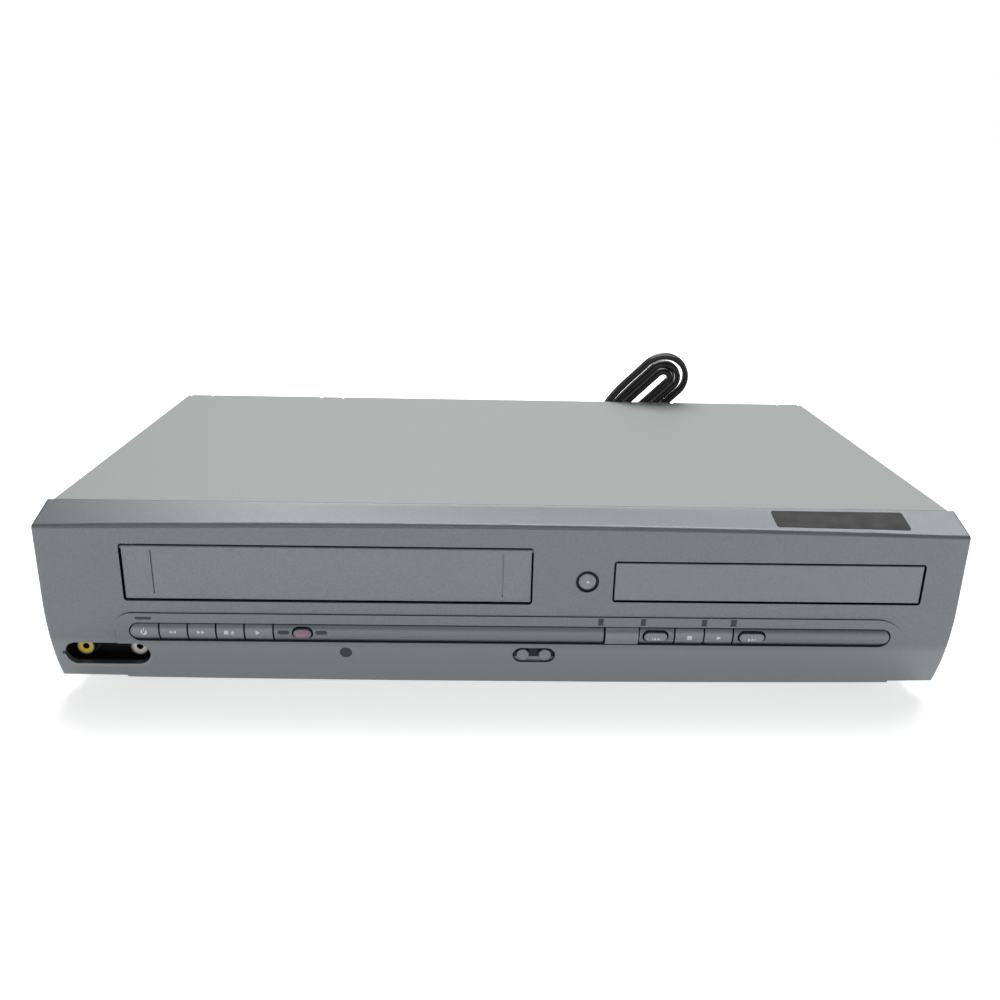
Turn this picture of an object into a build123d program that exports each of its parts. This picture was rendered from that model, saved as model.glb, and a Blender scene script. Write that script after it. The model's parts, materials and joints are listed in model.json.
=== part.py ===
from build123d import *
import os
from math import cos, hypot, pi, radians, sin, sqrt, tan

# A video cassette recorder and disc player in one case. Millimetres. X is right, Y is back
# and Z is up. The model is drawn with Y = 0 on the front face and Z = 0 on the table, and
# every part is shifted at the end so that the origin is the middle of the footprint.

# ---- case ----
width = 435.0  # over the front panel
height = 99.5  # table to the top cover
cabinet_depth = 240.0  # front face to the rear edge of the cover
foot_height = 9.0
bezel_depth = 19.2  # front face to the seam of the top cover
bezel_wall = 2.5
cover_inset = 2.0  # the cover is this much narrower than the front panel, each side
sheet = 0.8  # cover sheet
chassis_sheet = 1.5
rear_sheet = 1.1
seam_gap = 0.3
opening_gap = 0.9  # round the cassette door and the disc drawer's front
opening_corner = 1.7
slip = 0.1  # between assembled pieces that don't move
run_gap = 0.3  # between a moving piece and its neighbours

# ---- shape of the front panel ----
arch_end_drop = 6.7  # top front edge below the cover, at the ends
arch_middle_drop = 3.6
base_end_rise = 5.6  # bottom front edge above the chassis, at the ends
base_middle_rise = 1.5
waist_drop = 43.0  # where the face starts to roll under
roll_radius = 105.0
panel_raise = 0.7  # the control panel stands proud of the face
panel_left = -185.3
panel_right = 194.0
panel_top_drop = 49.5
panel_corner = 9.0

# ---- door, tray front and control bar on the front panel ----
door_left = -178.2
door_width = 189.7
door_top_drop = 15.3
door_height = 27.1
door_thickness = 2.0
door_recess = 1.2
door_groove = 0.7
tray_front_left = 51.2
tray_front_width = 146.5
tray_front_top_drop = 21.4
tray_front_height = 19.3
tray_front_thickness = 3.5
tray_travel = 135.0
bar_left = -178.7
bar_right = 187.4
bar_top_drop = 54.5
bar_height = 10.5  # the long recess that the buttons lie in
bar_gap = 0.7
bar_crown = 1.2
button_split = 0.8  # between neighbouring keys
pill_gap = 0.8  # round a pill-shaped button
button_back = 5.0  # depth of a button's body
web_front = 6.2
web_wall = 1.2
button_travel = 0.5
stem_size = 3.6
board_thickness = 1.6
function_board_front = 13.5
switch_body = 6.0
switch_height = 3.5
plunger_height = 0.8
board_low_rise = 8.5  # function board's lower edge above the panel's base

# ---- cassette mechanism ----
cassette_width = 188.0
cassette_depth = 104.0
cassette_height = 25.0
reel_pitch = 92.0
deck_z = 30.0
deck_sheet = 1.6
deck_front = 31.0
deck_back = 231.0
deck_margin = 9.0  # deck beyond the cassette, each side
holder_front = 33.0
holder_sheet = 1.0
holder_drop = 19.0
drum_radius = 31.0
drum_depth = 189.0  # drum axis behind the front face
drum_tilt = 5.5
drum_gap = 0.4
drum_shaft_radius = 3.0
shaft_slip = 0.05

# ---- disc mechanism ----
disc_recess_radius = 60.5
tray_width = 131.0
tray_length = tray_travel + 41.0
tray_thickness = 8.0
tray_z = 62.0
loader_wall = 2.5
loader_z = 50.0
loader_back = 190.0
spindle_depth = 88.0
sled_travel = 34.0
rod_radius = 1.5
rack_module = 1.0
drive_gear_teeth = 24
gear_tall = 3.6

# ---- mains cord ----
cord_wide = 6.6
cord_thick = 3.8
tube_radius = 2.6
cord_floor_gap = 0.3
hank_lean = 13.0  # degrees, top towards the case
hank_rise_angle = 48.0  # long axis against the table, in the hank's plane
hank_run = 131.0  # between the centres of its two ends
hank_loops_in = 3
hank_loops_out = 1
loop_step = 5.6  # between loops at the hank's ends
waist_step = 4.1  # between loops under the tie
hank_first = 17.2  # outermost strand from the long axis
hank_entry_radius = 18.5
hank_exit_turn = 36.0
waist_first = 12.3  # outermost strand from the long axis, under the tie
layer_step = 7.1
tie_slack = 0.5
hank_low_x = 28.0
relief_x = 165.0
relief_z = 36.0
relief_length = 22.0
relief_neck = 5.0  # half the square hole that the relief sits in
plug_x = -92.0
plug_y = cabinet_depth + 46.0
plug_z = 9.5

half = width / 2
floor_z = foot_height + chassis_sheet
cover_half = half - cover_inset
door_x = (door_left, door_left + door_width)
door_z = (height - door_top_drop - door_height, height - door_top_drop)
tray_front_x = (tray_front_left, tray_front_left + tray_front_width)
tray_front_z = (height - tray_front_top_drop - tray_front_height, height - tray_front_top_drop)
bar_z = (height - bar_top_drop - bar_height, height - bar_top_drop)
bar_middle_z = sum(bar_z) / 2
stem_end = function_board_front - switch_height - plunger_height - button_travel - run_gap
cassette_x = (door_x[0] + door_x[1]) / 2
tray_x = sum(tray_front_x) / 2

os.makedirs("parts", exist_ok=True)
nodes = {}


def middle(pair):
    return (pair[0] + pair[1]) / 2


def grown(pair, by):
    return (pair[0] - by, pair[1] + by)


def around(centre, size):
    return (centre - size / 2, centre + size / 2)


def block(x, y, z):
    return Pos(middle(x), middle(y), middle(z)) * Box(x[1] - x[0], y[1] - y[0], z[1] - z[0])


def along_x(sketch, x):
    return extrude(Plane.YZ.offset(x[0]) * sketch, amount=x[1] - x[0])


def along_y(sketch, y):
    return extrude(Plane.XZ.offset(-y[1]) * sketch, amount=y[1] - y[0])


def along_z(sketch, z):
    return extrude(Plane.XY.offset(z[0]) * sketch, amount=z[1] - z[0])


def rod_x(radius, x, y, z):
    return along_x(Pos(y, z) * Circle(radius), x)


def rod_y(radius, x, y, z):
    return along_y(Pos(x, z) * Circle(radius), y)


def rod_z(radius, x, y, z):
    return along_z(Pos(x, y) * Circle(radius), z)


def rect(a, b):
    return Pos(middle(a), middle(b)) * Rectangle(a[1] - a[0], b[1] - b[0])


def pill(a, b):
    """A flat outline with round ends, longer along its first axis."""
    return Pos(middle(a), middle(b)) * SlotOverall(a[1] - a[0], b[1] - b[0])


def pick(shape, test):
    return shape.edges().filter_by(test)


def gear(teeth, module, bore, x, y, z):
    """A spur gear on a vertical axis, its teeth drawn as trapezoids."""
    pitch = teeth * module / 2
    root = pitch - 1.1 * module
    tip = pitch + 0.9 * module
    tooth = Polygon(
        (root - module / 2, -0.95 * module),
        (tip, -0.4 * module),
        (tip, 0.4 * module),
        (root - module / 2, 0.95 * module),
        align=None,
    )
    wheel = Circle(root)
    for turn in range(teeth):
        wheel += Rot(Z=360 * turn / teeth) * tooth
    wheel -= Circle(bore)
    return along_z(Pos(x, y) * wheel, z)


def keep(name, shape):
    nodes[name] = shape


# ---------------------------------------------------------------- front panel


def face_depth(z, inset=0.0):
    """Depth of the face, or of a surface inset behind it, at height z."""
    fall = max(0.0, height - waist_drop - z)
    return roll_radius - sqrt((roll_radius - inset) ** 2 - fall**2)


def bezel_section(y, inset, top_end, top_middle, base_end, base_middle):
    side = half - inset
    top = (height - top_end - inset, height - top_middle - inset)
    base = (foot_height + base_end + inset, foot_height + base_middle + inset)
    edges = [
        Line((-side, base[0]), (-side, top[0])),
        ThreePointArc((-side, top[0]), (0, top[1]), (side, top[0]))
        if top[0] != top[1]
        else Line((-side, top[0]), (side, top[0])),
        Line((side, top[0]), (side, base[0])),
        ThreePointArc((side, base[0]), (0, base[1]), (-side, base[0]))
        if base[0] != base[1]
        else Line((side, base[0]), (-side, base[0])),
    ]
    return Plane.XZ.offset(-y) * make_face(edges)


def bezel_body(inset):
    """The front panel as a solid, every face moved in by inset."""
    front = bezel_section(
        -panel_raise - 1, inset, arch_end_drop, arch_middle_drop, base_end_rise, base_middle_rise
    )
    back = bezel_section(bezel_depth, inset, 0, 0, 0, 0)
    body = loft([back, front], ruled=True)
    low = foot_height - 2
    waist_z = height - waist_drop
    profile = make_face(
        [
            Line((inset, height + 2), (inset, waist_z)),
            ThreePointArc(
                (inset, waist_z),
                (face_depth(middle((low, waist_z)), inset), middle((low, waist_z))),
                (face_depth(low, inset), low),
            ),
            Line((face_depth(low, inset), low), (bezel_depth + 1, low)),
            Line((bezel_depth + 1, low), (bezel_depth + 1, height + 2)),
            Line((bezel_depth + 1, height + 2), (inset, height + 2)),
        ]
    )
    return body & along_x(profile, (-half - 1, half + 1))


def panel_outline():
    """The raised control panel: its top corners sweep down into its sides."""
    top = height - panel_top_drop
    low = foot_height - 2
    sweep_left = (panel_left + panel_corner, top)
    sweep_right = (panel_right - 1.6 * panel_corner, top)
    return make_face(
        [
            Line((panel_left, low), (panel_left, top - panel_corner)),
            RadiusArc((panel_left, top - panel_corner), sweep_left, panel_corner),
            Line(sweep_left, sweep_right),
            ThreePointArc(
                sweep_right,
                (panel_right - 0.55 * panel_corner, top - 0.4 * panel_corner),
                (panel_right, top - 1.3 * panel_corner),
            ),
            Line((panel_right, top - 1.3 * panel_corner), (panel_right, low)),
            Line((panel_right, low), (panel_left, low)),
        ]
    )


def bar_profile(back, proud=0.0):
    """Side outline of the convex control bar, and of the buttons that are cut from it."""
    top = bar_z[1] - bar_gap
    low = bar_z[0] + bar_gap
    front = face_depth(bar_middle_z) - panel_raise - proud
    return make_face(
        [
            Line((back, low), (back, top)),
            Line((back, top), (front + bar_crown, top)),
            ThreePointArc((front + bar_crown, top), (front, bar_middle_z), (front + 1.6 * bar_crown, low)),
            Line((front + 1.6 * bar_crown, low), (back, low)),
        ]
    )


# Buttons cut from the bar: name, left and right edges.
bar_buttons = {
    "power_button": (bar_left + bar_gap, -164.6),
    "rewind_button": (-164.6, -151.2),
    "fast_forward_button": (-151.2, -137.8),
    "stop_eject_button": (-137.8, -124.4),
    "cassette_play_button": (-124.4, -110.7),
    "disc_stop_button": (81.9, 96.2),
    "disc_play_button": (96.2, 110.3),
}
# Buttons that stand in a pill-shaped hole of the bar: name, left, right, height.
pill_buttons = {
    "record_button": (-101.1, -92.5, 4.9),
    "previous_button": (67.0, 78.2, 4.7),
    "next_button": (113.3, 125.5, 4.7),
}
pill_button_proud = 0.9
source_x = (47.9, 64.5)
source_proud = 1.3
fixed_bars = ((-110.7, 47.9), (64.5, 81.9), (110.3, bar_right))
lamps_z = (height - 60.4, height - 58.6)
bar_lamps = ((-108.5, -103.1), (-90.5, -85.1))
power_lamp = ((-174.8, -167.5), (height - 52.7, height - 51.5))
slot_lamps = ((44.5, 46.7), (64.9, 67.1), (94.3, 96.6), (108.3, 110.9))
slot_lamp_z = (height - 53.6, height - 50.1)
lamp_back = 9.6
sensor_x = -76.8
sensor_z = height - 71.0
sensor_radius = 2.9
sensor_back = 8.5
channel_x = (3.9, 24.8)
channel_z = (height - 76.5, height - 67.4)
channel_button_radius = 3.1
channel_buttons = {"channel_down_button": 8.9, "channel_up_button": 19.8}
open_x = 38.1
open_z = height - 31.1
open_radius = 4.25
open_ring = 5.5
recess_x = (-211.5, -170.8)
recess_z = (height - 78.8, height - 66.8)
recess_depth = 16.0
recess_skin = 1.4  # wall of the recess
jack_radius = 4.15
jack_wall = 0.6
jack_reach = 6.0  # of a front socket from the recess's floor
jack_pin_hole = 1.6
collar_radius = 5.4  # insulating ring round a phono socket
collar_reach = 1.0
jack_pitch = 26.0
jack_x = around(middle(recess_x), jack_pitch)
hinge_radius = 1.0
hinge_y = door_recess + door_thickness / 2
hinge_z = door_z[1] - hinge_radius - 0.2


def stem_hole(x, z, clearance):
    size = stem_size + 2 * clearance
    return block(around(x, size), (button_back, web_front + web_wall + 1), around(z, size))


def front_panel():
    outer = bezel_body(0)
    top_edge = pick(outer, lambda e: abs(e.center().Y) < 0.5 and e.center().Z > height - 10)
    outer = fillet(top_edge, 2.2)
    sides = pick(outer, lambda e: abs(e.center().Y) < 0.6 and abs(e.center().X) > half - 0.5)
    outer = fillet(sides, 1.5)
    raised = bezel_body(-panel_raise) & along_y(panel_outline(), (-2 * panel_raise - 1, bezel_depth))
    shell = outer + (raised & block((-half, half), (-2, bezel_depth), (foot_height, height)))
    cavity = bezel_body(bezel_wall) + block(
        grown((-half, half), -bezel_wall),
        (bezel_depth - 0.5, bezel_depth + 1),
        (foot_height + bezel_wall, height - bezel_wall),
    )
    shell -= cavity
    bar_box = (grown((bar_left, bar_right), 3), grown(bar_z, 2))
    shell += along_y(rect(*bar_box), (3.2, web_front + web_wall))
    channel = along_y(pill((bar_left, bar_right), bar_z), (-3, web_front))
    shell -= channel
    for left, right in fixed_bars:
        ends = (left + button_split / 2, right - (bar_gap if right == bar_right else button_split / 2))
        shell += along_x(bar_profile(web_front + web_wall / 2), ends) & along_y(
            pill(grown((bar_left, bar_right), -bar_gap), grown(bar_z, -bar_gap)), (-3, web_front + 1)
        )
    for x in bar_buttons.values():
        shell -= stem_hole(middle(x), bar_middle_z, run_gap)
    shell -= stem_hole(middle(source_x), bar_middle_z, run_gap)
    for left, right, tall in pill_buttons.values():
        hole = pill(grown((left, right), pill_gap), around(bar_middle_z, tall + 2 * pill_gap))
        shell -= along_y(hole, (-3, button_back + button_travel + run_gap))
        shell -= stem_hole(middle((left, right)), bar_middle_z, run_gap)
    for x in bar_lamps:
        shell -= along_y(pill(grown(x, slip), grown(lamps_z, slip)), (-3, bezel_depth))
    shell -= along_y(rect(grown(power_lamp[0], slip), grown(power_lamp[1], slip)), (-3, bezel_depth))
    for x in slot_lamps:
        shell -= along_y(rect(grown(x, slip), grown(slot_lamp_z, slip)), (-3, bezel_depth))
    for x, z in ((door_x, door_z), (tray_front_x, tray_front_z)):
        opening = fillet(rect(grown(x, opening_gap), grown(z, opening_gap)).vertices(), opening_corner)
        shell -= along_y(opening, (-3, bezel_depth))
    shell += channel_cup() + jack_cup() + door_bosses()
    pocket = pill(channel_x, channel_z)
    shell -= along_y(pocket, (-3, web_front))
    for x in channel_buttons.values():
        shell -= stem_hole(x, middle(channel_z), run_gap)
    shell -= along_y(pill(recess_x, recess_z), (-3, recess_depth))
    for x in jack_x:
        shell -= rod_y(collar_radius + slip, x, (0, bezel_depth), middle(recess_z))
    for x in ((door_x[0] - 4, door_x[0]), (door_x[1], door_x[1] + 4)):
        shell -= rod_x(hinge_radius + shaft_slip, x, hinge_y, hinge_z)
    shell -= rod_y(sensor_radius + slip, sensor_x, (-3, bezel_depth), sensor_z)
    shell -= rod_y(open_ring, open_x, (-3, 0.9), open_z)
    shell -= rod_y(open_radius + run_gap, open_x, (-3, bezel_depth), open_z)
    return shell


def channel_cup():
    return along_y(pill(grown(channel_x, 1.2), grown(channel_z, 1.2)), (5.0, web_front + web_wall))


def jack_cup():
    outline = pill(grown(recess_x, recess_skin), grown(recess_z, recess_skin))
    inside = block((-half + 1, 0), (0, bezel_depth), (foot_height, height))
    return along_y(outline, (4.0, recess_depth + recess_skin)) & inside


def door_bosses():
    """The two bearings that the door's pins turn in, behind the ends of its opening."""
    bearing = None
    for x in (around(door_x[0] - 2.4, 3.0), around(door_x[1] + 2.4, 3.0)):
        boss = block(x, (bezel_wall - 0.5, hinge_y + 3.5), around(hinge_z, 7.0))
        boss += block(x, (0.8, bezel_wall), around(hinge_z, 7.0))
        bearing = boss if bearing is None else bearing + boss
    return bearing


def cassette_door():
    """A flap hung at its round top edge, with a pin at each end and two fine upright grooves."""
    y = (door_recess, door_recess + door_thickness)
    flap = block(door_x, y, (door_z[0], hinge_z))
    flap += rod_x(door_thickness / 2, door_x, hinge_y, hinge_z)
    flap += rod_x(hinge_radius, grown(door_x, 3.2), hinge_y, hinge_z)
    for x in grown(door_x, -13.3):
        groove_y = (door_recess - 1, door_recess + door_groove)
        flap -= block(around(x, door_groove), groove_y, grown(door_z, -2.6))
    return flap


def bar_button(name):
    """One key of the bar. The row's left key has the bar's round end."""
    x = bar_buttons[name]
    left = x[0] if name == "power_button" else x[0] + button_split / 2
    body = along_x(bar_profile(button_back), (left, x[1] - button_split / 2))
    if name == "power_button":
        body &= along_y(pill(grown((bar_left, bar_right), -bar_gap), grown(bar_z, -bar_gap)), (-3, web_front))
    return body + button_stem(middle(x), bar_middle_z)


def button_stem(x, z):
    return block(around(x, stem_size), (button_back - 0.5, stem_end), around(z, stem_size))


def pill_button(name):
    left, right, tall = pill_buttons[name]
    front = face_depth(bar_middle_z) - panel_raise - pill_button_proud
    cap = along_y(pill((left, right), around(bar_middle_z, tall)), (front, button_back))
    cap = fillet(cap.faces().sort_by(Axis.Y)[0].edges(), 0.6)
    return cap + button_stem(middle((left, right)), bar_middle_z)


def source_button():
    x = grown(source_x, -button_split / 2)
    return along_x(bar_profile(button_back, source_proud), x) + button_stem(middle(x), bar_middle_z)


def round_button(radius, x, z, front):
    cap = rod_y(radius, x, (front, button_back), z)
    cap = fillet(cap.faces().sort_by(Axis.Y)[0].edges(), 0.7)
    return cap + button_stem(x, z)


def indicator_lenses():
    """Light guides from the lamps to the windows of the panel, and the remote control's window."""
    pipe_y = (face_depth(bar_middle_z) - panel_raise - 0.1, lamp_back)
    pipes = [along_y(pill(x, lamps_z), pipe_y) for x in bar_lamps]
    pipes.append(along_y(rect(*power_lamp), (-panel_raise + 0.4, lamp_back)))
    for x in slot_lamps:
        pipes.append(along_y(rect(x, slot_lamp_z), (-panel_raise + 0.3, lamp_back)))
    window = (face_depth(sensor_z) - panel_raise + 0.2, sensor_back)
    pipes.append(rod_y(sensor_radius, sensor_x, window, sensor_z))
    return Compound(pipes)


def lamp_places():
    places = [(middle(x), middle(lamps_z)) for x in bar_lamps]
    places.append((middle(power_lamp[0]), middle(power_lamp[1])))
    return places + [(middle(x), middle(slot_lamp_z)) for x in slot_lamps]


def switch_places():
    places = [(middle(x), bar_middle_z) for x in bar_buttons.values()]
    places += [(middle(p[:2]), bar_middle_z) for p in pill_buttons.values()]
    places.append((middle(source_x), bar_middle_z))
    places += [(x, middle(channel_z)) for x in channel_buttons.values()]
    return places + [(open_x, open_z)]


def function_board():
    """The board behind the panel, with a push switch behind every button."""
    y = (function_board_front, function_board_front + board_thickness)
    low = (foot_height + board_low_rise, bar_z[0])
    board = block((-184, 191), y, (bar_z[0], height - 46.0))
    board += block((-165, 60), y, grown(low, 0.6))
    board += block(around(open_x, 16), y, (height - 46.5, open_z + 5))
    for x, z in switch_places():
        front = function_board_front - switch_height
        board += block(around(x, switch_body), (front, y[0] + 0.3), around(z, switch_body))
        board += rod_y(1.7, x, (front - plunger_height, front + 0.2), z)
    for x, z in lamp_places():
        board += block(around(x, 2.4), (lamp_back + slip, y[0] + 0.2), around(z, 1.6))
    board += block(around(sensor_x, 6), (sensor_back + slip, y[0] + 0.2), around(sensor_z, 7))
    return board


def phono_jack(x, z):
    """A phono socket: metal shell, the insulator inside it, its collar and a square body behind it."""
    front = recess_depth - jack_reach
    back = recess_depth + recess_skin + slip
    socket = rod_y(jack_radius, x, (front, back), z)
    socket += rod_y(collar_radius, x, (recess_depth - collar_reach, back), z)
    socket += block(around(x, 10), (back - slip, back + 2.2), around(z, 9.6))
    socket -= rod_y(jack_radius - jack_wall, x, (front - 1, front + jack_wall), z)
    return socket - rod_y(jack_pin_hole, x, (front, back), z)


def front_jacks():
    """The video and audio sockets at the back of the recess."""
    return Compound([phono_jack(x, middle(recess_z)) for x in jack_x])


# ---------------------------------------------------------------- case

tab_x = (10.5 - cover_half, -115.0, 115.0, cover_half - 10.5)
tab_width = 15.0
tab_drop = 16.0
tab_screw_z = height - 11.5
side_screw_y = (62.0, 205.0)
side_screw_z = 21.0
screw_radius = 1.5
screw_head_radius = 3.4
screw_head = 1.4
side_flange = 20.0
front_flange = 12.0
cover_low = 12.5


def cover_outline(inset):
    side = cover_half - inset
    top = height - inset
    outline = rect((-side, side), (cover_low - 1, top))
    return fillet(outline.vertices().group_by(Axis.Y)[-1], max(0.4, 2.4 - inset))


def top_cover():
    y = (bezel_depth + seam_gap, cabinet_depth)
    shell = along_y(cover_outline(0) - cover_outline(sheet), y)
    shell &= block((-half, half), y, (cover_low, height))
    tab_y = (cabinet_depth - sheet, cabinet_depth)
    for x in tab_x:
        across = around(x, tab_width)
        shell += block(across, tab_y, (height - tab_drop, height - sheet / 2))
        shell -= rod_y(screw_radius + 0.2, x, (tab_y[0] - 1, tab_y[1] + 1), tab_screw_z)
        notch_y = (cabinet_depth - 3.0, cabinet_depth + 1)
        for edge in across:
            shell -= block(around(edge, 1.8), notch_y, (height - 3, height + 1))
    for side in (-1, 1):
        for y_screw in side_screw_y:
            reach = sorted((side * (cover_half - 2), side * (cover_half + 1)))
            shell -= rod_x(screw_radius + 0.2, reach, y_screw, side_screw_z)
        for slot in range(14):
            y_slot = 95 + 7.0 * slot
            reach = sorted((side * (cover_half - 2), side * (cover_half + 1)))
            shell -= block(reach, around(y_slot, 2.6), (height - 62, height - 40))
    return shell


def cover_screws():
    screws = []
    for place in tab_x:
        screw = rod_y(screw_radius, place, (cabinet_depth - 6, cabinet_depth), tab_screw_z)
        screw += rod_y(screw_head_radius, place, (cabinet_depth, cabinet_depth + screw_head), tab_screw_z)
        screw -= block(
            around(place, 0.9),
            (cabinet_depth + screw_head - 0.7, cabinet_depth + screw_head + 1),
            around(tab_screw_z, 4.6),
        )
        screw -= block(
            around(place, 4.6),
            (cabinet_depth + screw_head - 0.7, cabinet_depth + screw_head + 1),
            around(tab_screw_z, 0.9),
        )
        screws.append(screw)
    for side in (-1, 1):
        for y in side_screw_y:
            shank = sorted((side * (cover_half - 6), side * cover_half))
            head = sorted((side * cover_half, side * (cover_half + screw_head)))
            screws.append(
                rod_x(screw_radius, shank, y, side_screw_z) + rod_x(screw_head_radius, head, y, side_screw_z)
            )
    return Compound(screws)


post_radius = 4.0
deck_post_x = (cassette_x - cassette_width / 2 + 6, cassette_x + cassette_width / 2 - 6)
deck_post_y = (deck_front + 6, deck_back - 6)
board_z = 17.0
main_board_x = (30.0, 206.0)
main_board_y = (40.0, 142.0)
power_board_x = (118.0, 206.0)
power_board_y = (146.0, 234.0)
rear_board_x = (-186.0, 112.0)
loader_x = around(tray_x, tray_front_width + 3)
loader_post_y = (34.0, loader_back - 6)
foot_x = 182.0
foot_y = (46.0, 206.0)
foot_radius = 13.0


def board_posts():
    """Where a board is carried: x, y pairs."""
    corners = []
    for xs, ys in ((main_board_x, main_board_y), (power_board_x, power_board_y)):
        corners += [(x, y) for x in grown(xs, -5) for y in grown(ys, -5)]
    return corners


def bottom_chassis():
    flange_x = cover_half - sheet - slip
    y = (bezel_depth + seam_gap, cabinet_depth - sheet - rear_sheet - slip)
    tray = block((-flange_x, flange_x), y, (foot_height, floor_z))
    for side in (-1, 1):
        wall = sorted((side * flange_x, side * (flange_x - chassis_sheet)))
        flange = block(wall, y, (foot_height, foot_height + side_flange))
        for y_screw in side_screw_y:
            flange -= rod_x(screw_radius + shaft_slip, grown(wall, 1), y_screw, side_screw_z)
        tray += flange
    flange_y = (y[0], y[0] + chassis_sheet)
    tray += block((-flange_x, flange_x), flange_y, (foot_height, foot_height + front_flange))
    for x in deck_post_x:
        for y_post in deck_post_y:
            tray += rod_z(post_radius, x, y_post, (floor_z - 0.5, deck_z))
    for x, y_post in board_posts():
        tray += rod_z(3.0, x, y_post, (floor_z - 0.5, board_z))
    for row in range(4):
        for slot in range(16):
            tray -= block(
                around(-150 + 20 * slot, 3.0), around(88 + 26 * row, 16.0), (foot_height - 1, floor_z + 0.1)
            )
    for x, y_post in [(x, p) for x in deck_post_x for p in deck_post_y] + board_posts():
        tray += rod_z(post_radius, x, y_post, (foot_height, floor_z))
    return tray


def feet():
    pads = []
    for side in (-1, 1):
        for y in foot_y:
            pad = rod_z(foot_radius, side * foot_x, y, (0, foot_height))
            pad = fillet(pad.faces().sort_by(Axis.Z)[0].edges(), 1.2)
            pad -= rod_z(foot_radius - 5, side * foot_x, y, (-1, 2.2))
            pads.append(pad)
    return Compound(pads)


# Rear sockets: name and place of each, across the rear panel.
rear_jacks = [(-168.0 + 17.0 * column, 52.0 - 17.0 * row) for column in range(3) for row in range(2)]
rear_jacks += [(-104.0 + 17.0 * column, 44.0) for column in range(4)]
rear_jack_reach = 7.2
tuner_x = (-22.0, 6.0)
tuner_z = (deck_z + deck_sheet + slip, 76.0)
tuner_jacks = (43.0, 64.0)
f_radius = 4.76
f_reach = 9.0
f_nut_radius = 6.35  # over the corners
f_nut_thick = 2.3
vent_z = (height - 33.5, height - 15.5)


def rear_panel():
    y = (cabinet_depth - sheet - rear_sheet, cabinet_depth - sheet)
    side = cover_half - sheet - slip
    plate = block((-side, side), y, (floor_z + slip, height - sheet - slip))
    plate &= along_y(cover_outline(sheet + slip), y)
    cut = (y[0] - 1, y[1] + 1)
    for x, z in rear_jacks:
        plate -= rod_y(collar_radius + run_gap, x, cut, z)
    for z in tuner_jacks:
        plate -= rod_y(f_radius + run_gap, middle(tuner_x), cut, z)
    neck_size = 2 * relief_neck + 2 * slip
    plate -= along_y(rect(around(relief_x, neck_size), around(relief_z, neck_size)), cut)
    for place in tab_x:
        plate -= rod_y(screw_radius + shaft_slip, place, cut, tab_screw_z)
    for slot in range(18):
        plate -= block(around(60 + 7.0 * slot, 2.8), cut, vent_z)
    return plate


# ---------------------------------------------------------------- cassette mechanism

deck_x = grown(around(cassette_x, cassette_width), deck_margin)
drum_x = cassette_x
drum_z = deck_z + deck_sheet
drum_place = Pos(drum_x, drum_depth, drum_z) * Rot(Y=drum_tilt * 0.55, X=-drum_tilt)
drum_base = 9.0
lower_drum_height = 16.0
upper_drum_height = 19.0
reel_y = deck_front + 52.0
reel_x = {"supply_reel_table": cassette_x - reel_pitch / 2, "take_up_reel_table": cassette_x + reel_pitch / 2}
spindle_pin_radius = 2.0
capstan_x = cassette_x + 62.0
capstan_y = deck_front + 131.0
capstan_radius = 1.5
flywheel_radius = 24.0
pinch_x = capstan_x + 20.0
pinch_y = capstan_y + 6.0
pinch_roller_radius = 7.0
holder_x = grown(around(cassette_x, cassette_width), 1.0)
holder_z = (door_z[0] + 0.6, door_z[0] + 0.6 + cassette_height + 2.0)
holder_y = (holder_front, holder_front + cassette_depth + 2)
motor_x = cassette_x - 74.0
motor_y = deck_back - 32.0
cam_x = cassette_x - 70.0
cam_y = capstan_y - 2.0
head_offset = 39.0  # tape heads, each side of the drum
head_y = capstan_y - 10.0
head_post_radius = 2.2
idler_place = (cassette_x, reel_y + 18.0)
idler_post_radius = 2.0
pinch_post_radius = 2.0
pinch_roller_place = (capstan_x + 2.0, capstan_y - 13.5)
cam_post_radius = 2.5
guide_pin_radius = 1.5
guide_pin_y = (deck_front + 24, deck_front + 92)
guide_pin_z = holder_z[0] + 8.0
bracket_sheet = 1.2


def deck_chassis():
    z = (deck_z, deck_z + deck_sheet)
    plate = block(deck_x, (deck_front, deck_back), z)
    for x in reel_x.values():
        plate += rod_z(spindle_pin_radius, x, reel_y, (z[0], z[1] + 16))
        plate += rod_z(5.0, x, reel_y, (z[0], z[1] + 1.2))
    plate += rod_z(6.0, capstan_x, capstan_y, (z[0] - 2.5, z[1] + 12))
    plate -= rod_z(capstan_radius + shaft_slip, capstan_x, capstan_y, (z[0] - 4, z[1] + 14))
    plate += rod_z(pinch_post_radius, pinch_x, pinch_y, (z[0], z[1] + 12))
    plate += rod_z(cam_post_radius, cam_x, cam_y, (z[0], z[1] + 8))
    plate += rod_z(idler_post_radius, *idler_place, (z[0], z[1] + 9))
    for side in (-1, 1):
        x = drum_x + side * 52
        plate -= along_z(Pos(x, drum_depth - 22) * Rot(Z=90 - side * 14) * SlotOverall(46, 5), grown(z, 1))
    for side in (-1, 1):
        plate += rod_z(head_post_radius, drum_x + side * head_offset, head_y, (z[0], z[1] + 29))
    return plate


def side_bracket(side):
    """The upright plate that guides the holder, with its two slots."""
    edge = holder_x[1] + 1.4 if side > 0 else holder_x[0] - 1.4
    x = sorted((edge, edge + side * bracket_sheet))
    y_span = (deck_front + 2, deck_front + 118)
    low = deck_z + deck_sheet
    plate = block(x, y_span, (low, height - 6))
    foot = sorted((edge, edge + side * 4.6))
    plate += block(foot, y_span, (low, low + bracket_sheet))
    for y in guide_pin_y:
        travel = grown((guide_pin_z - holder_drop, guide_pin_z), 2.2)
        plate -= along_x(rect(around(y, 2 * guide_pin_radius + 2 * run_gap), travel), grown(x, 1))
    return plate


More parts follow.
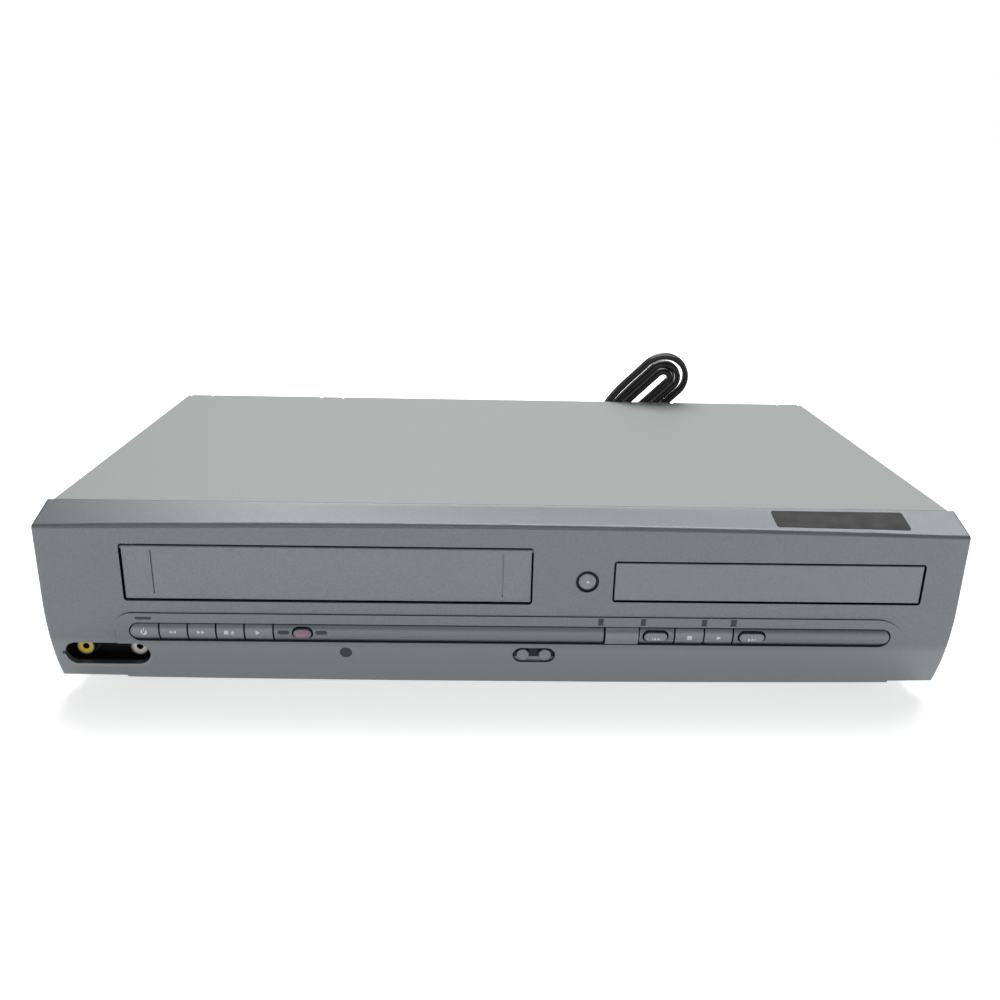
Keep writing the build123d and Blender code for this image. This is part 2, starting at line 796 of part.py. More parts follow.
def cassette_holder():
    """An open sheet-metal carrier: floor rails, sides and a top, with a guide pin at each corner."""
    shell = block(grown(holder_x, -0.2), holder_y, holder_z)
    shell -= block(
        grown(holder_x, -0.2 - holder_sheet),
        (holder_y[0] - 1, holder_y[1] + 1),
        (holder_z[0] + holder_sheet, holder_z[1] - holder_sheet),
    )
    floor_cut = (holder_z[0] - 1, holder_z[0] + 2)
    top_cut = (holder_z[1] - 2, holder_z[1] + 1)
    shell -= block(around(cassette_x, cassette_width - 44), grown(holder_y, 1), floor_cut)
    for x in reel_x.values():
        shell -= rod_z(19.0, x, reel_y, floor_cut)
    shell -= block(around(cassette_x, 96), (holder_y[0] - 1, holder_y[0] + 34), top_cut)
    shell -= block(around(cassette_x, 130), (holder_y[1] - 30, holder_y[1] + 1), top_cut)
    for side in (-1, 1):
        face = holder_x[1] - 0.2 if side > 0 else holder_x[0] + 0.2
        for y in guide_pin_y:
            shell += rod_x(guide_pin_radius, sorted((face - side * 0.5, face + side * 3.0)), y, guide_pin_z)
    return shell


def lower_drum():
    body = Cylinder(drum_radius, lower_drum_height, align=(Align.CENTER, Align.CENTER, Align.MIN))
    body = Pos(0, 0, drum_base) * body
    body += Pos(0, 0, 3.4) * Cylinder(16, drum_base - 3, align=(Align.CENTER, Align.CENTER, Align.MIN))
    body -= Pos(0, 0, 2) * Cylinder(
        drum_shaft_radius + shaft_slip, 60, align=(Align.CENTER, Align.CENTER, Align.MIN)
    )
    body = drum_place * body
    base = block(around(drum_x, 74), around(drum_depth, 52), (drum_z, drum_z + 3.0))
    neck = drum_place * (
        Cylinder(16, 8, align=(Align.CENTER, Align.CENTER, Align.MIN))
        - Cylinder(drum_shaft_radius + shaft_slip, 30)
    )
    neck &= block(around(drum_x, 74), around(drum_depth, 74), (drum_z, drum_z + 40))
    base -= drum_place * Cylinder(drum_shaft_radius + shaft_slip, 40)
    return body + base + neck


def head_drum():
    low = drum_base + lower_drum_height + drum_gap
    standing = (Align.CENTER, Align.CENTER, Align.MIN)
    body = Pos(0, 0, low) * Cylinder(drum_radius, upper_drum_height, align=standing)
    for turn in range(4):
        body -= Rot(Z=45 + 90 * turn) * (Pos(drum_radius, 0, low) * Box(3, 4, 3.0))
    body -= Pos(0, 0, low + upper_drum_height - 5) * (
        Cylinder(24, 5.5, align=standing) - Cylinder(10, 5.5, align=standing)
    )
    for turn in range(2):
        body -= Rot(Z=180 * turn) * (Pos(17, 0, low + upper_drum_height - 9) * Cylinder(2.5, 10))
    shaft = Pos(0, 0, 6) * Cylinder(drum_shaft_radius, low - 4, align=standing)
    return drum_place * (body + shaft)


def reel_table(x):
    low = deck_z + deck_sheet + 1.2 + run_gap
    table = rod_z(19.0, x, reel_y, (low, low + 4.0))
    table += rod_z(5.6, x, reel_y, (low, low + 13.5))
    for turn in range(3):
        rib = Rot(Z=120 * turn) * (Pos(6.2, 0, 0) * Box(3.0, 1.8, 8.0))
        table += Pos(x, reel_y, low + 8.0) * rib
    table -= rod_z(spindle_pin_radius + shaft_slip, x, reel_y, (low - 1, low + 20))
    return table


def reel_idler():
    low = deck_z + deck_sheet + run_gap
    wheel = rod_z(13.0, *idler_place, (low, low + 3.4)) + rod_z(5.0, *idler_place, (low, low + 7.0))
    return wheel - rod_z(idler_post_radius + shaft_slip, *idler_place, (low - 1, low + 9))


def capstan():
    """The flywheel under the deck and the thin shaft that drives the tape."""
    low = deck_z - 2.5 - run_gap
    wheel = rod_z(flywheel_radius, capstan_x, capstan_y, (low - 5.0, low))
    wheel -= rod_z(flywheel_radius - 4, capstan_x, capstan_y, (low - 2.2, low + 1)) - rod_z(
        7.0, capstan_x, capstan_y, (low - 3, low + 1)
    )
    return wheel + rod_z(capstan_radius, capstan_x, capstan_y, (low - 5.0, deck_z + 42))


def pinch_arm():
    low = deck_z + deck_sheet + run_gap
    ends = (Pos(pinch_x, pinch_y) * Circle(5.0)).edges() + (Pos(*pinch_roller_place) * Circle(4.0)).edges()
    arm = along_z(make_hull(ends), (deck_z + deck_sheet + 14.0, deck_z + deck_sheet + 16.0))
    arm += rod_z(4.0, pinch_x, pinch_y, (low, deck_z + deck_sheet + 15))
    arm += rod_z(pinch_post_radius, *pinch_roller_place, (deck_z + deck_sheet + 15, deck_z + deck_sheet + 34))
    bore_z = (low - 1, deck_z + deck_sheet + 12.6)
    return arm - rod_z(pinch_post_radius + shaft_slip, pinch_x, pinch_y, bore_z)


def pinch_roller():
    low = deck_z + deck_sheet + 16.0 + run_gap
    roller = rod_z(pinch_roller_radius, *pinch_roller_place, (low, low + 15))
    return roller - rod_z(pinch_post_radius + shaft_slip, *pinch_roller_place, (low - 1, low + 16))


def loading_motor():
    low = deck_z + deck_sheet
    body = rod_y(10.5, motor_x, (motor_y - 14, motor_y + 16), low + 11.0)
    body &= block(around(motor_x, 17), around(motor_y, 60), (low, low + 30))
    foot = block(around(motor_x, 17), (motor_y - 12, motor_y + 14), (low, low + 3))
    body += rod_y(4.0, motor_x, (motor_y - 17, motor_y - 13), low + 11)
    return body + foot + rod_y(1.0, motor_x, (motor_y - 21, motor_y - 13), low + 11)


def cam_gear():
    low = deck_z + deck_sheet + run_gap
    bore = cam_post_radius + shaft_slip
    boss = rod_z(9.0, cam_x, cam_y, (low + 3, low + 7.5)) - rod_z(bore, cam_x, cam_y, (low, low + 9))
    return gear(34, 1.0, bore, cam_x, cam_y, (low, low + 4.0)) + boss


def tape_head(side, wide, long):
    """A head block on its own post, with a small shelf under the wider one."""
    x = drum_x + side * head_offset
    z = deck_z + deck_sheet
    head = block(around(x, wide), around(head_y, long), (z + 12, z + 27))
    head += block(around(x, wide + 4), around(head_y, long + 2), (z + 10, z + 12.2))
    return head - rod_z(head_post_radius + slip, x, head_y, (z, z + 40))


# ---------------------------------------------------------------- disc mechanism

tray_y = (tray_front_thickness + door_recess - 0.6, tray_front_thickness + door_recess - 0.6 + tray_length)
tray_front_y = (0.2, tray_y[0])
gear_radius = drive_gear_teeth * rack_module / 2
gear_y = 30.0
motor_offset = 27.0
rack_line = tray_x - tray_width / 2 + 8.5  # where the rack meets the gear's pitch circle
rack_teeth = 50
tray_skin = 1.6  # depth of the hollow under the drawer
gear_z = (tray_front_z[0] + 0.4, tray_front_z[0] + 0.4 + gear_tall)
gear_x = rack_line + gear_radius
rod_x_offset = 19.0
rod_z_level = loader_z + 4.5
sled_y = (spindle_depth + 22.0, spindle_depth + 48.0)
rod_y_span = (sled_y[0] - 10, sled_y[1] + sled_travel + 12)
turntable_radius = 14.0
slot_half = 26.0
tray_top = tray_z + tray_thickness
loader_top = tray_top + 1.8
clamp_z = tray_top + 3.0
spindle_motor_radius = 13.0
spindle_radius = 1.2


def disc_tray():
    """The sliding drawer: a disc-shaped recess, a smaller step inside it, and a slot to the back."""
    x = around(tray_x, tray_width)
    z = (tray_z, tray_z + tray_thickness)
    drawer = block(x, tray_y, z)
    centre_y = spindle_depth
    drawer -= rod_z(disc_recess_radius, tray_x, centre_y, (z[1] - 3.0, z[1] + 1))
    drawer -= rod_z(41.0, tray_x, centre_y, (z[1] - 4.2, z[1] + 1))
    drawer -= rod_z(turntable_radius + 5, tray_x, centre_y, (z[0] - 1, z[1] + 1))
    drawer -= block(around(tray_x, 2 * slot_half), (centre_y, tray_y[1] + 1), (z[0] - 1, z[1] + 1))
    drawer -= block(grown(x, -4), (tray_y[0] + 6, tray_y[1] + 1), (z[0] - 1, z[0] + tray_skin))
    return drawer + rack()


def rack():
    """The rack under the drawer, with a space at the gear's middle when the drawer is in."""
    pitch = pi * rack_module
    teeth = around(gear_y + pitch * (rack_teeth / 2 - 4), pitch * rack_teeth)
    outline = rect((rack_line - 3.2, rack_line - 1.1 * rack_module), teeth)
    tooth = Polygon(
        (-1.4 * rack_module, -0.8 * rack_module),
        (0.8 * rack_module, -0.35 * rack_module),
        (0.8 * rack_module, 0.35 * rack_module),
        (-1.4 * rack_module, 0.8 * rack_module),
        align=None,
    )
    for place in range(rack_teeth):
        outline += Pos(rack_line, teeth[0] + pitch * (place + 0.5)) * tooth
    return along_z(outline, (gear_z[0], tray_z + tray_skin + 0.2))


def tray_front():
    y = (tray_front_y[0], tray_front_y[1] - slip)
    plate = block(tray_front_x, y, tray_front_z)
    rim = pick(plate, lambda e: abs(e.center().Y - y[0]) < 0.01)
    plate = fillet(rim, 0.5)
    return plate - block((tray_x - 20, tray_x + 20), (y[1] - 0.8, y[1] + 1), around(middle(tray_front_z), 4))


def loader_frame():
    """A bed with side rails under and over the drawer, and an open well for the spindle and pickup."""
    y = (bezel_depth + 3.0, loader_back)
    bed = block(loader_x, y, (loader_z, loader_z + loader_wall))
    for side in (-1, 1):
        edge = tray_x + side * (tray_width / 2 + run_gap)
        outer = loader_x[1] if side > 0 else loader_x[0]
        bed += block(sorted((edge, outer)), y, (loader_z, tray_top + run_gap))
        inner = sorted((edge - side * 4, edge + side * 0.5))
        bed += block(inner, y, (loader_z, tray_z - run_gap))
        bed += block(inner, (y[0] + 6, y[1]), (tray_top + run_gap, loader_top))
        bed += block(sorted((edge, outer)), (y[0] + 6, y[1]), (tray_top, loader_top))
    bed += block(loader_x, (loader_back - loader_wall, loader_back), (loader_z, loader_top))
    well_y = (spindle_depth - 24, loader_back - 6)
    bed -= block(around(tray_x, 2 * slot_half + 6), well_y, (loader_z - 1, loader_z + 3))
    rest = (tray_x - slot_half - 5, tray_x + slot_half + 5)
    for x in (tray_x - rod_x_offset, tray_x + rod_x_offset):
        for y_end in rod_y_span:
            bed += block(around(x, 7), around(y_end, 5), (loader_z, loader_z + 7.5))
    for x in (tray_x - rod_x_offset, tray_x + rod_x_offset):
        bed -= rod_y(rod_radius + slip, x, grown(rod_y_span, 1.6), rod_z_level)
    bed += block(rest, around(rod_y_span[0] - 0.5, 4), (loader_z, loader_z + 2.0))
    bed += block(rest, around(rod_y_span[1] + 0.5, 4), (loader_z, loader_z + 2.0))
    motor_ring = rod_z(19.0, tray_x, spindle_depth, (loader_z, loader_z + 2.0))
    bed += motor_ring + block(rest, around(spindle_depth, 10), (loader_z, loader_z + 2.0))
    bed -= rod_z(spindle_motor_radius + slip, tray_x, spindle_depth, (loader_z - 1, loader_z + 1.2))
    bed -= rod_z(spindle_radius + shaft_slip, tray_x, spindle_depth, (loader_z - 1, loader_z + 3))
    bed += rod_z(3.6, gear_x, gear_y, (loader_z, gear_z[0] - run_gap))
    bed += rod_z(2.0, gear_x, gear_y, (loader_z, gear_z[1] - 0.5))
    bed -= rod_z(1.0 + run_gap, gear_x + motor_offset, gear_y + 1, (loader_z - 1, loader_z + 3))
    for x in loader_x:
        post_x = x + (4 if x < tray_x else -4)
        for y_post in loader_post_y:
            bed += rod_z(post_radius, post_x, y_post, (board_z + board_thickness, loader_z + 1))
    return bed


def spindle_turntable():
    """The turntable that carries a disc, on the shaft of its flat motor."""
    table_z = (tray_z - 2.0, tray_z + 2.6)
    table = rod_z(turntable_radius, tray_x, spindle_depth, table_z)
    table += rod_z(7.3, tray_x, spindle_depth, (tray_z, tray_z + 5.0))
    table = fillet(table.faces().sort_by(Axis.Z)[-1].edges(), 1.0)
    table += rod_z(spindle_radius, tray_x, spindle_depth, (loader_z - 3.4, tray_z))
    table += rod_z(12.0, tray_x, spindle_depth, (loader_z + 2.0 + run_gap, loader_z + 7.6))
    return table


def spindle_motor():
    z = (loader_z - 4.2, loader_z + 1.2)
    can = rod_z(spindle_motor_radius, tray_x, spindle_depth, z)
    return can - rod_z(spindle_radius + shaft_slip, tray_x, spindle_depth, (z[0] + 0.6, z[1] + 1))


def guide_rods():
    rods = []
    for x in (tray_x - rod_x_offset, tray_x + rod_x_offset):
        rods.append(rod_y(rod_radius, x, (rod_y_span[0] - 1.5, rod_y_span[1] + 1.5), rod_z_level))
    return Compound(rods)


def pickup_sled():
    """The laser block, sliding on the two rods, with its lens on top."""
    x = grown(around(tray_x, 2 * rod_x_offset), 3.6)
    z = (rod_z_level - 2.9, rod_z_level + 2.9)
    sled = block(x, sled_y, z)
    sled += block(around(tray_x, 20), (sled_y[0] + 4, sled_y[1] - 4), (z[1] - 1, z[1] + 3.0))
    sled += rod_z(3.4, tray_x, middle(sled_y), (z[1], z[1] + 3.8))
    for rod_place in (tray_x - rod_x_offset, tray_x + rod_x_offset):
        sled -= rod_y(rod_radius + shaft_slip, rod_place, grown(sled_y, 1), rod_z_level)
    return sled


def clamp_bridge():
    """A sheet bridge over the drawer, with the seat that the clamp hangs in."""
    y = around(spindle_depth, 46)
    z = (clamp_z, clamp_z + 1.2)
    bridge = block(loader_x, y, z)
    for side in (-1, 1):
        outer = loader_x[1] if side > 0 else loader_x[0]
        leg = sorted((outer, outer - side * 6))
        bridge += block(leg, y, (loader_top, z[1]))
    return bridge - rod_z(11.0 + run_gap, tray_x, spindle_depth, grown(z, 1))


def disc_clamp():
    """The magnetic puck that rests in the bridge and holds the disc to the turntable."""
    z = (clamp_z - 1.2, clamp_z + 1.2 + run_gap)
    puck = rod_z(11.0, tray_x, spindle_depth, z)
    return puck + rod_z(14.5, tray_x, spindle_depth, (z[1], z[1] + 1.6))


def drive_gear():
    return gear(drive_gear_teeth, rack_module, 2.0 + shaft_slip, gear_x, gear_y, gear_z)


def tray_motor():
    x = gear_x + motor_offset
    body = rod_z(10.0, x, gear_y + 1, (loader_z - 16.0, loader_z - slip))
    return body + rod_z(1.0, x, gear_y + 1, (loader_z - 1, loader_z + 4.4))


# ---------------------------------------------------------------- boards


def capacitors(places, z):
    cans = None
    for x, y, radius, tall in places:
        can = rod_z(radius, x, y, (z - 0.3, z + tall))
        cans = can if cans is None else cans + can
    return cans


def main_board():
    z = (board_z, board_z + board_thickness)
    board = block(main_board_x, main_board_y, z)
    for x, y, wide, long in ((92, 70, 28, 28), (140, 66, 20, 20), (74, 112, 16, 22), (128, 104, 24, 14)):
        board += block(around(x, wide), around(y, long), (z[1] - 0.2, z[1] + 2.4))
    cans = ((60, 52, 3.2, 8), (176, 60, 4, 10), (176, 74, 4, 10), (162, 112, 3.2, 8), (110, 126, 5, 12))
    board += capacitors(cans, z[1])
    board += block((44, 66), (128, 136), (z[1] - 0.2, z[1] + 7))
    return board


def power_board():
    z = (board_z, board_z + board_thickness)
    board = block(power_board_x, power_board_y, z)
    board += block(around(146, 34), around(178, 30), (z[1] - 0.2, z[1] + 27))
    board += block((127, 165), around(178, 18), (z[1] + 5, z[1] + 22))
    board += capacitors([(188, 168, 11, 26), (186, 196, 6, 16), (130, 206, 5, 13), (143, 207, 5, 13)], z[1])
    return Compound([board, heat_sink()])


def heat_sink():
    z = (board_z + board_thickness + slip, board_z + board_thickness + 30)
    sink = block((124, 200), (151.0, 153.0), z)
    for fin in range(9):
        sink += block(around(128 + 8.5 * fin, 1.4), (152.0, 158.5), z)
    return sink


def rear_board():
    """The socket board behind the rear panel, under the cassette deck's back edge."""
    y = (deck_back - 42, cabinet_depth - sheet - rear_sheet - 0.6)
    z = (board_z, board_z + board_thickness)
    board = block((rear_board_x[0] + 16, rear_board_x[1]), y, z)
    for x in deck_post_x:
        board -= rod_z(post_radius + slip, x, deck_post_y[1], grown(z, 1))
    return board


def av_socket_block():
    """The phono sockets in one moulded body, standing on the socket board."""
    back = cabinet_depth
    y = (back - 8.0, cabinet_depth - sheet - rear_sheet - slip)
    z_low = board_z + board_thickness
    body = block((-176.5, -125.5), y, (z_low, 61))
    body += block((-112.5, -44.5), y, (z_low, 53))
    body += block((-126.0, -112.0), y, (z_low, 30))
    for x, z in rear_jacks:
        body += rod_y(collar_radius, x, (y[0] + 1, back + 0.3), z)
        body += rod_y(jack_radius, x, (y[0] + 1, back + rear_jack_reach), z)
        sunk = (back + rear_jack_reach - jack_wall, back + rear_jack_reach + 1)
        body -= rod_y(jack_radius - jack_wall, x, sunk, z)
        body -= rod_y(jack_pin_hole, x, (back - 1, back + rear_jack_reach), z)
    return body


def tuner_module():
    """A tinned box with two threaded aerial sockets."""
    y = (cabinet_depth - 34, cabinet_depth - sheet - rear_sheet - slip)
    box_part = block(tuner_x, y, tuner_z)
    nut_y = (cabinet_depth - sheet + slip, cabinet_depth - sheet + slip + f_nut_thick)
    for z in tuner_jacks:
        box_part += rod_y(f_radius, middle(tuner_x), (y[1] - 1, cabinet_depth + f_reach), z)
        box_part += along_y(Pos(middle(tuner_x), z) * RegularPolygon(f_nut_radius, 6), nut_y)
        box_part -= rod_y(2.9, middle(tuner_x), (cabinet_depth - 1, cabinet_depth + f_reach + 1), z)
    return box_part


def disc_board():
    """The disc player's own board, hung under the loader."""
    z = (loader_z - 9.0, loader_z - 7.4)
    y = (103, 147)
    board = block((80, 182), y, z)
    board += block(around(112, 24), around(middle(y), 24), (z[0] - 2.0, z[0] + 0.2))
    board += block(around(152, 16), around(middle(y), 16), (z[0] - 1.8, z[0] + 0.2))
    for x in (86, 176):
        for y_post in grown(y, -4):
            board += rod_z(2.4, x, y_post, (z[1] - 0.2, loader_z - slip))
    return board


# ---------------------------------------------------------------- mains cord

hank_cos, hank_sin = cos(radians(hank_lean)), sin(radians(hank_lean))
hank_floor_z = cord_thick / 2 * hank_cos + cord_wide / 2 * hank_sin + cord_floor_gap
hank_clear = (cord_wide / 2 + 0.4) / hank_cos
hank_plane_y = cabinet_depth + hank_clear + (height - hank_floor_z) * tan(radians(hank_lean))
low_centre_up = hank_entry_radius + (hank_entry_radius - hank_first) * cos(radians(hank_rise_angle))


def hank_point(across, up, layer):
    """A point of the hank's plane: across to the right, up the lean from the table line."""
    return Vector(
        hank_low_x + across,
        hank_plane_y - up * hank_sin + layer * layer_step * hank_cos,
        hank_floor_z + up * hank_cos + layer * layer_step * hank_sin,
    )


def strand_point(along, aside, layer):
    """A point given along the hank's long axis and aside from it, to its upper left."""
    rise = radians(hank_rise_angle)
    return hank_point(
        along * cos(rise) - aside * sin(rise), low_centre_up + along * sin(rise) + aside * cos(rise), layer
    )


def waist_aside(aside):
    """Where a strand lies under the tie, given where it lies at the hank's ends."""
    return waist_first - (hank_first - aside) * waist_step / loop_step


def s_bend(start, end, heading):
    """Two equal arcs that leave start and reach end along heading."""
    half_way = (start + end) * 0.5
    first = Edge.make_tangent_arc(start, heading, half_way)
    return [first, Edge.make_tangent_arc(half_way, first % 1, end)]


def hank_path():
    """Spiral in on the front layer, climb on the last run, spiral out on the layer behind."""
    up_axis = (strand_point(1, 0, 0) - strand_point(0, 0, 0)).normalized()
    sides = [hank_first - loop_step / 2 * turn for turn in range(2 * hank_loops_in)]
    sides += [sides[-1] + loop_step / 2 * (turn + 1) for turn in range(2 * hank_loops_out)]
    climb_run = 2 * hank_loops_in - 1
    entry = strand_point(0, sides[0], 0)
    start_centre = strand_point(0, sides[0] - hank_entry_radius, 0)
    bottom = start_centre + hank_point(0, -hank_entry_radius, 0) - hank_point(0, 0, 0)
    edges = [Edge.make_line(bottom + Vector(cord_wide, 0, 0), bottom)]
    edges.append(Edge.make_tangent_arc(bottom, (-1, 0, 0), entry))
    layer = 0
    for run, aside in enumerate(sides):
        going_up = run % 2 == 0
        sign = 1 if going_up else -1
        ends = (0, hank_run) if going_up else (hank_run, 0)
        next_layer = 1 if run >= climb_run else 0
        heading = up_axis * sign
        a = strand_point(ends[0], sign * aside, layer)
        b = strand_point(hank_run / 2, sign * waist_aside(aside), layer)
        c = strand_point(ends[1], sign * aside, next_layer)
        edges += s_bend(a, b, heading) + s_bend(b, c, heading)
        layer = next_layer
        if run + 1 < len(sides):
            next_point = strand_point(ends[1], -sign * sides[run + 1], layer)
            edges.append(Edge.make_tangent_arc(c, heading, next_point))
    radius = sides[-1] + 1.0
    turn = radians(hank_exit_turn)
    last = edges[-1] @ 1
    down = up_axis * -1
    left = (strand_point(0, 1, 1) - strand_point(0, 0, 1)).normalized()
    out = last + down * (radius * sin(turn)) + left * (radius * (1 - cos(turn)))
    edges.append(Edge.make_tangent_arc(last, down, out))
    edges.append(Edge.make_line(out, out + (edges[-1] % 1) * cord_wide))
    return Wire(edges)


def flat_section(path):
    """The cord's flat outline, square to the start of its path, wide way across the layers."""
    across = Vector(0, hank_cos, hank_sin)
    plane = Plane(origin=path @ 0, x_dir=across, z_dir=path % 0)
    return plane * SlotOverall(cord_wide, cord_thick)


def hank_gap(path):
    """Least distance between two strands' surfaces, measured on points of the centreline."""
    count = 1500
    step = path.length / count
    points = [path @ (i / count) for i in range(count + 1)]
    far = int(16 / step)
    least = 99.0
    for i, p in enumerate(points):
        for q in points[i + far :: 2]:
            if abs(p.X - q.X) > 9 or abs(p.Z - q.Z) > 9:
                continue
            across = (p.Y - q.Y) * hank_cos + (p.Z - q.Z) * hank_sin
            flat = sqrt(max(0.0, (p - q).length ** 2 - across**2))
            gap = hypot(max(0.0, flat - cord_thick), max(0.0, abs(across) - cord_wide))
            least = min(least, gap)
    return least


def route_tube(points, name):
    """A round tube along straight runs joined by tangent arcs, with the radii that the runs allow."""
    points = [Vector(*p) for p in points]
    radii = []
    for a, b, c in zip(points, points[1:], points[2:]):
        turn = radians((b - a).get_angle(c - b))
        radii.append(0.45 * min((b - a).length, (c - b).length) / tan(turn / 2))
    path = FilletPolyline(*points, radius=radii)
    plane = Plane(origin=path @ 0, z_dir=path % 0)
    tube = sweep(plane * Circle(tube_radius), path=path)
    print(name, "radii", [round(r, 1) for r in radii], "length", round(path.length, 1))
    print(name, "volume", round(tube.volume), "against", round(pi * tube_radius**2 * path.length))
    return tube


def cord_parts():
    path = hank_path()
    print("hank length", round(path.length, 1), "least gap", round(hank_gap(path), 2))
    hank = sweep(flat_section(path), path=path)
    keep("cord_hank", hank)
    start = path @ 0
    finish = path @ 1
    heading = path % 1
    exit_y = cabinet_depth + relief_length
    table = tube_radius + cord_floor_gap
    lead = [
        (relief_x, exit_y, relief_z),
        (relief_x, exit_y + 22, relief_z),
        (relief_x - 13, exit_y + 42, relief_z - 6),
        (relief_x - 35, exit_y + 52, relief_z - 17),
        (relief_x - 59, exit_y + 43, table + 6),
        (relief_x - 81, exit_y + 21, table + 0.5),
        (start.X + 26, start.Y, start.Z),
        (start.X, start.Y, start.Z),
    ]
    keep("cord_lead", route_tube(lead, "cord_lead"))
    tail = [
        (finish.X, finish.Y, finish.Z),
        (finish.X + heading.X * 22, finish.Y + heading.Y * 22, finish.Z + heading.Z * 22),
        (plug_x + 68, plug_y - 7, table),
        (plug_x + 44, plug_y + 2, table + 0.4),
        (plug_x + 22, plug_y, plug_z),
        (plug_x, plug_y, plug_z),
    ]
    keep("cord_tail", route_tube(tail, "cord_tail"))
    return path


def plug_section(reach, wide, tall, corner):
    """The plug's outline, reach beyond the end of its cord."""
    plane = Plane(origin=(plug_x - reach, plug_y, plug_z), x_dir=(0, 1, 0), z_dir=(-1, 0, 0))
    return plane * RectangleRounded(wide, tall, corner)


def mains_plug():
    """A flat two-blade plug lying on the table, its cord end to the right."""
    sections = [plug_section(0, 8, 8, 2.6), plug_section(12, 15, 12, 4), plug_section(26, 25, 18, 5)]
    grip = loft(sections, ruled=True)
    for side in (-1, 1):
        y = around(plug_y + side * 6.35, 1.5)
        blade = block((plug_x - 42.5, plug_x - 25), y, around(plug_z, 6.35))
        blade -= rod_y(1.6, plug_x - 38.5, grown(y, 1), plug_z)
        grip += blade
    return grip


def strain_relief():
    """The tapered collar that holds the cord in the rear panel."""
    out = cabinet_depth - sheet
    inner = out - rear_sheet
    square = rect(around(relief_x, 2 * relief_neck), around(relief_z, 2 * relief_neck))
    collar = along_y(square, (inner - 2, out + 1))
    flange = rect(around(relief_x, 2 * relief_neck + 4), around(relief_z, 2 * relief_neck + 4))
    collar += along_y(flange, (out + slip, out + 2.2))
    collar += along_y(flange, (inner - 3.2, inner - slip))
    taper = loft(
        [
            Plane.XZ.offset(-(out + 2)) * Pos(relief_x, relief_z) * Circle(6.0),
            Plane.XZ.offset(-(cabinet_depth + relief_length)) * Pos(relief_x, relief_z) * Circle(3.9),
        ],
        ruled=True,
    )
    return collar + taper


def cord_tie(path):
    """The band round the waist of the hank."""
    room = cord_thick / 2 + tie_slack
    reach = waist_first + room
    inner_low = -waist_aside(hank_first - loop_step / 2) - room
    rise = radians(hank_rise_angle)
    centre = strand_point(hank_run / 2, (reach + inner_low) / 2, 0.5)
    axis = strand_point(1, 0, 0) - strand_point(0, 0, 0)
    aside = strand_point(0, 1, 0) - strand_point(0, 0, 0)
    plane = Plane(origin=centre, x_dir=aside, z_dir=axis)
    wide = reach - inner_low
    deep = layer_step + cord_wide + 1.0
    ring = plane * (RectangleRounded(wide + 2.4, deep + 2.4, 3.0) - RectangleRounded(wide, deep, 2.0))
    return extrude(ring, amount=3.0, both=True)

# ---------------------------------------------------------------- every part in turn

keep("front_panel", front_panel())
keep("cassette_door", cassette_door())
for button_name in bar_buttons:
    keep(button_name, bar_button(button_name))
for button_name in pill_buttons:
    keep(button_name, pill_button(button_name))
keep("source_button", source_button())
for button_name, button_x in channel_buttons.items():
    pill_front = face_depth(middle(channel_z)) - panel_raise + 0.2
    keep(button_name, round_button(channel_button_radius, button_x, middle(channel_z), pill_front))
keep("open_close_button", round_button(open_radius, open_x, open_z, 0.1))
keep("indicator_lenses", indicator_lenses())
keep("front_jacks", front_jacks())
keep("function_board", function_board())

keep("top_cover", top_cover())
keep("cover_screws", cover_screws())
keep("bottom_chassis", bottom_chassis())
keep("feet", feet())
keep("rear_panel", rear_panel())

keep("deck_chassis", deck_chassis())
keep("deck_brackets", Compound([side_bracket(-1), side_bracket(1)]))
keep("cassette_holder", cassette_holder())
keep("lower_drum", lower_drum())
keep("head_drum", head_drum())
for reel_name, place_x in reel_x.items():
    keep(reel_name, reel_table(place_x))
keep("reel_idler", reel_idler())
keep("capstan_flywheel", capstan())
keep("pinch_arm", pinch_arm())
keep("pinch_roller", pinch_roller())
keep("loading_motor", loading_motor())
keep("loading_cam_gear", cam_gear())
keep("tape_heads", Compound([tape_head(-1, 13, 10), tape_head(1, 11, 13)]))

keep("disc_tray", disc_tray())
keep("tray_front", tray_front())
keep("loader_frame", loader_frame())
keep("spindle_turntable", spindle_turntable())
keep("spindle_motor", spindle_motor())
keep("guide_rods", guide_rods())
keep("pickup_sled", pickup_sled())
keep("clamp_bridge", clamp_bridge())
keep("disc_clamp", disc_clamp())
keep("tray_drive_gear", drive_gear())
keep("tray_motor", tray_motor())

keep("main_board", main_board())
keep("power_board", power_board())
keep("rear_socket_board", Compound([rear_board(), av_socket_block()]))
keep("tuner_module", tuner_module())
keep("disc_board", disc_board())

keep("strain_relief", strain_relief())
cord_path = cord_parts()
keep("cord_tie", cord_tie(cord_path))
keep("mains_plug", mains_plug())

# The footprint's middle: from the proudest button to the end of the cord's strain relief.
front_most = face_depth(bar_middle_z) - panel_raise - source_proud
origin_shift = -(front_most + cabinet_depth + relief_length) / 2
for node_name, solid in nodes.items():
    export_step(Pos(0, origin_shift, 0) * solid, f"parts/{node_name}.step")
print("nodes", len(nodes), "shift", round(origin_shift, 3))
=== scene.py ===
import json
import math

import bmesh
import bpy
from mathutils import Matrix, Vector
from mathutils.bvhtree import BVHTree


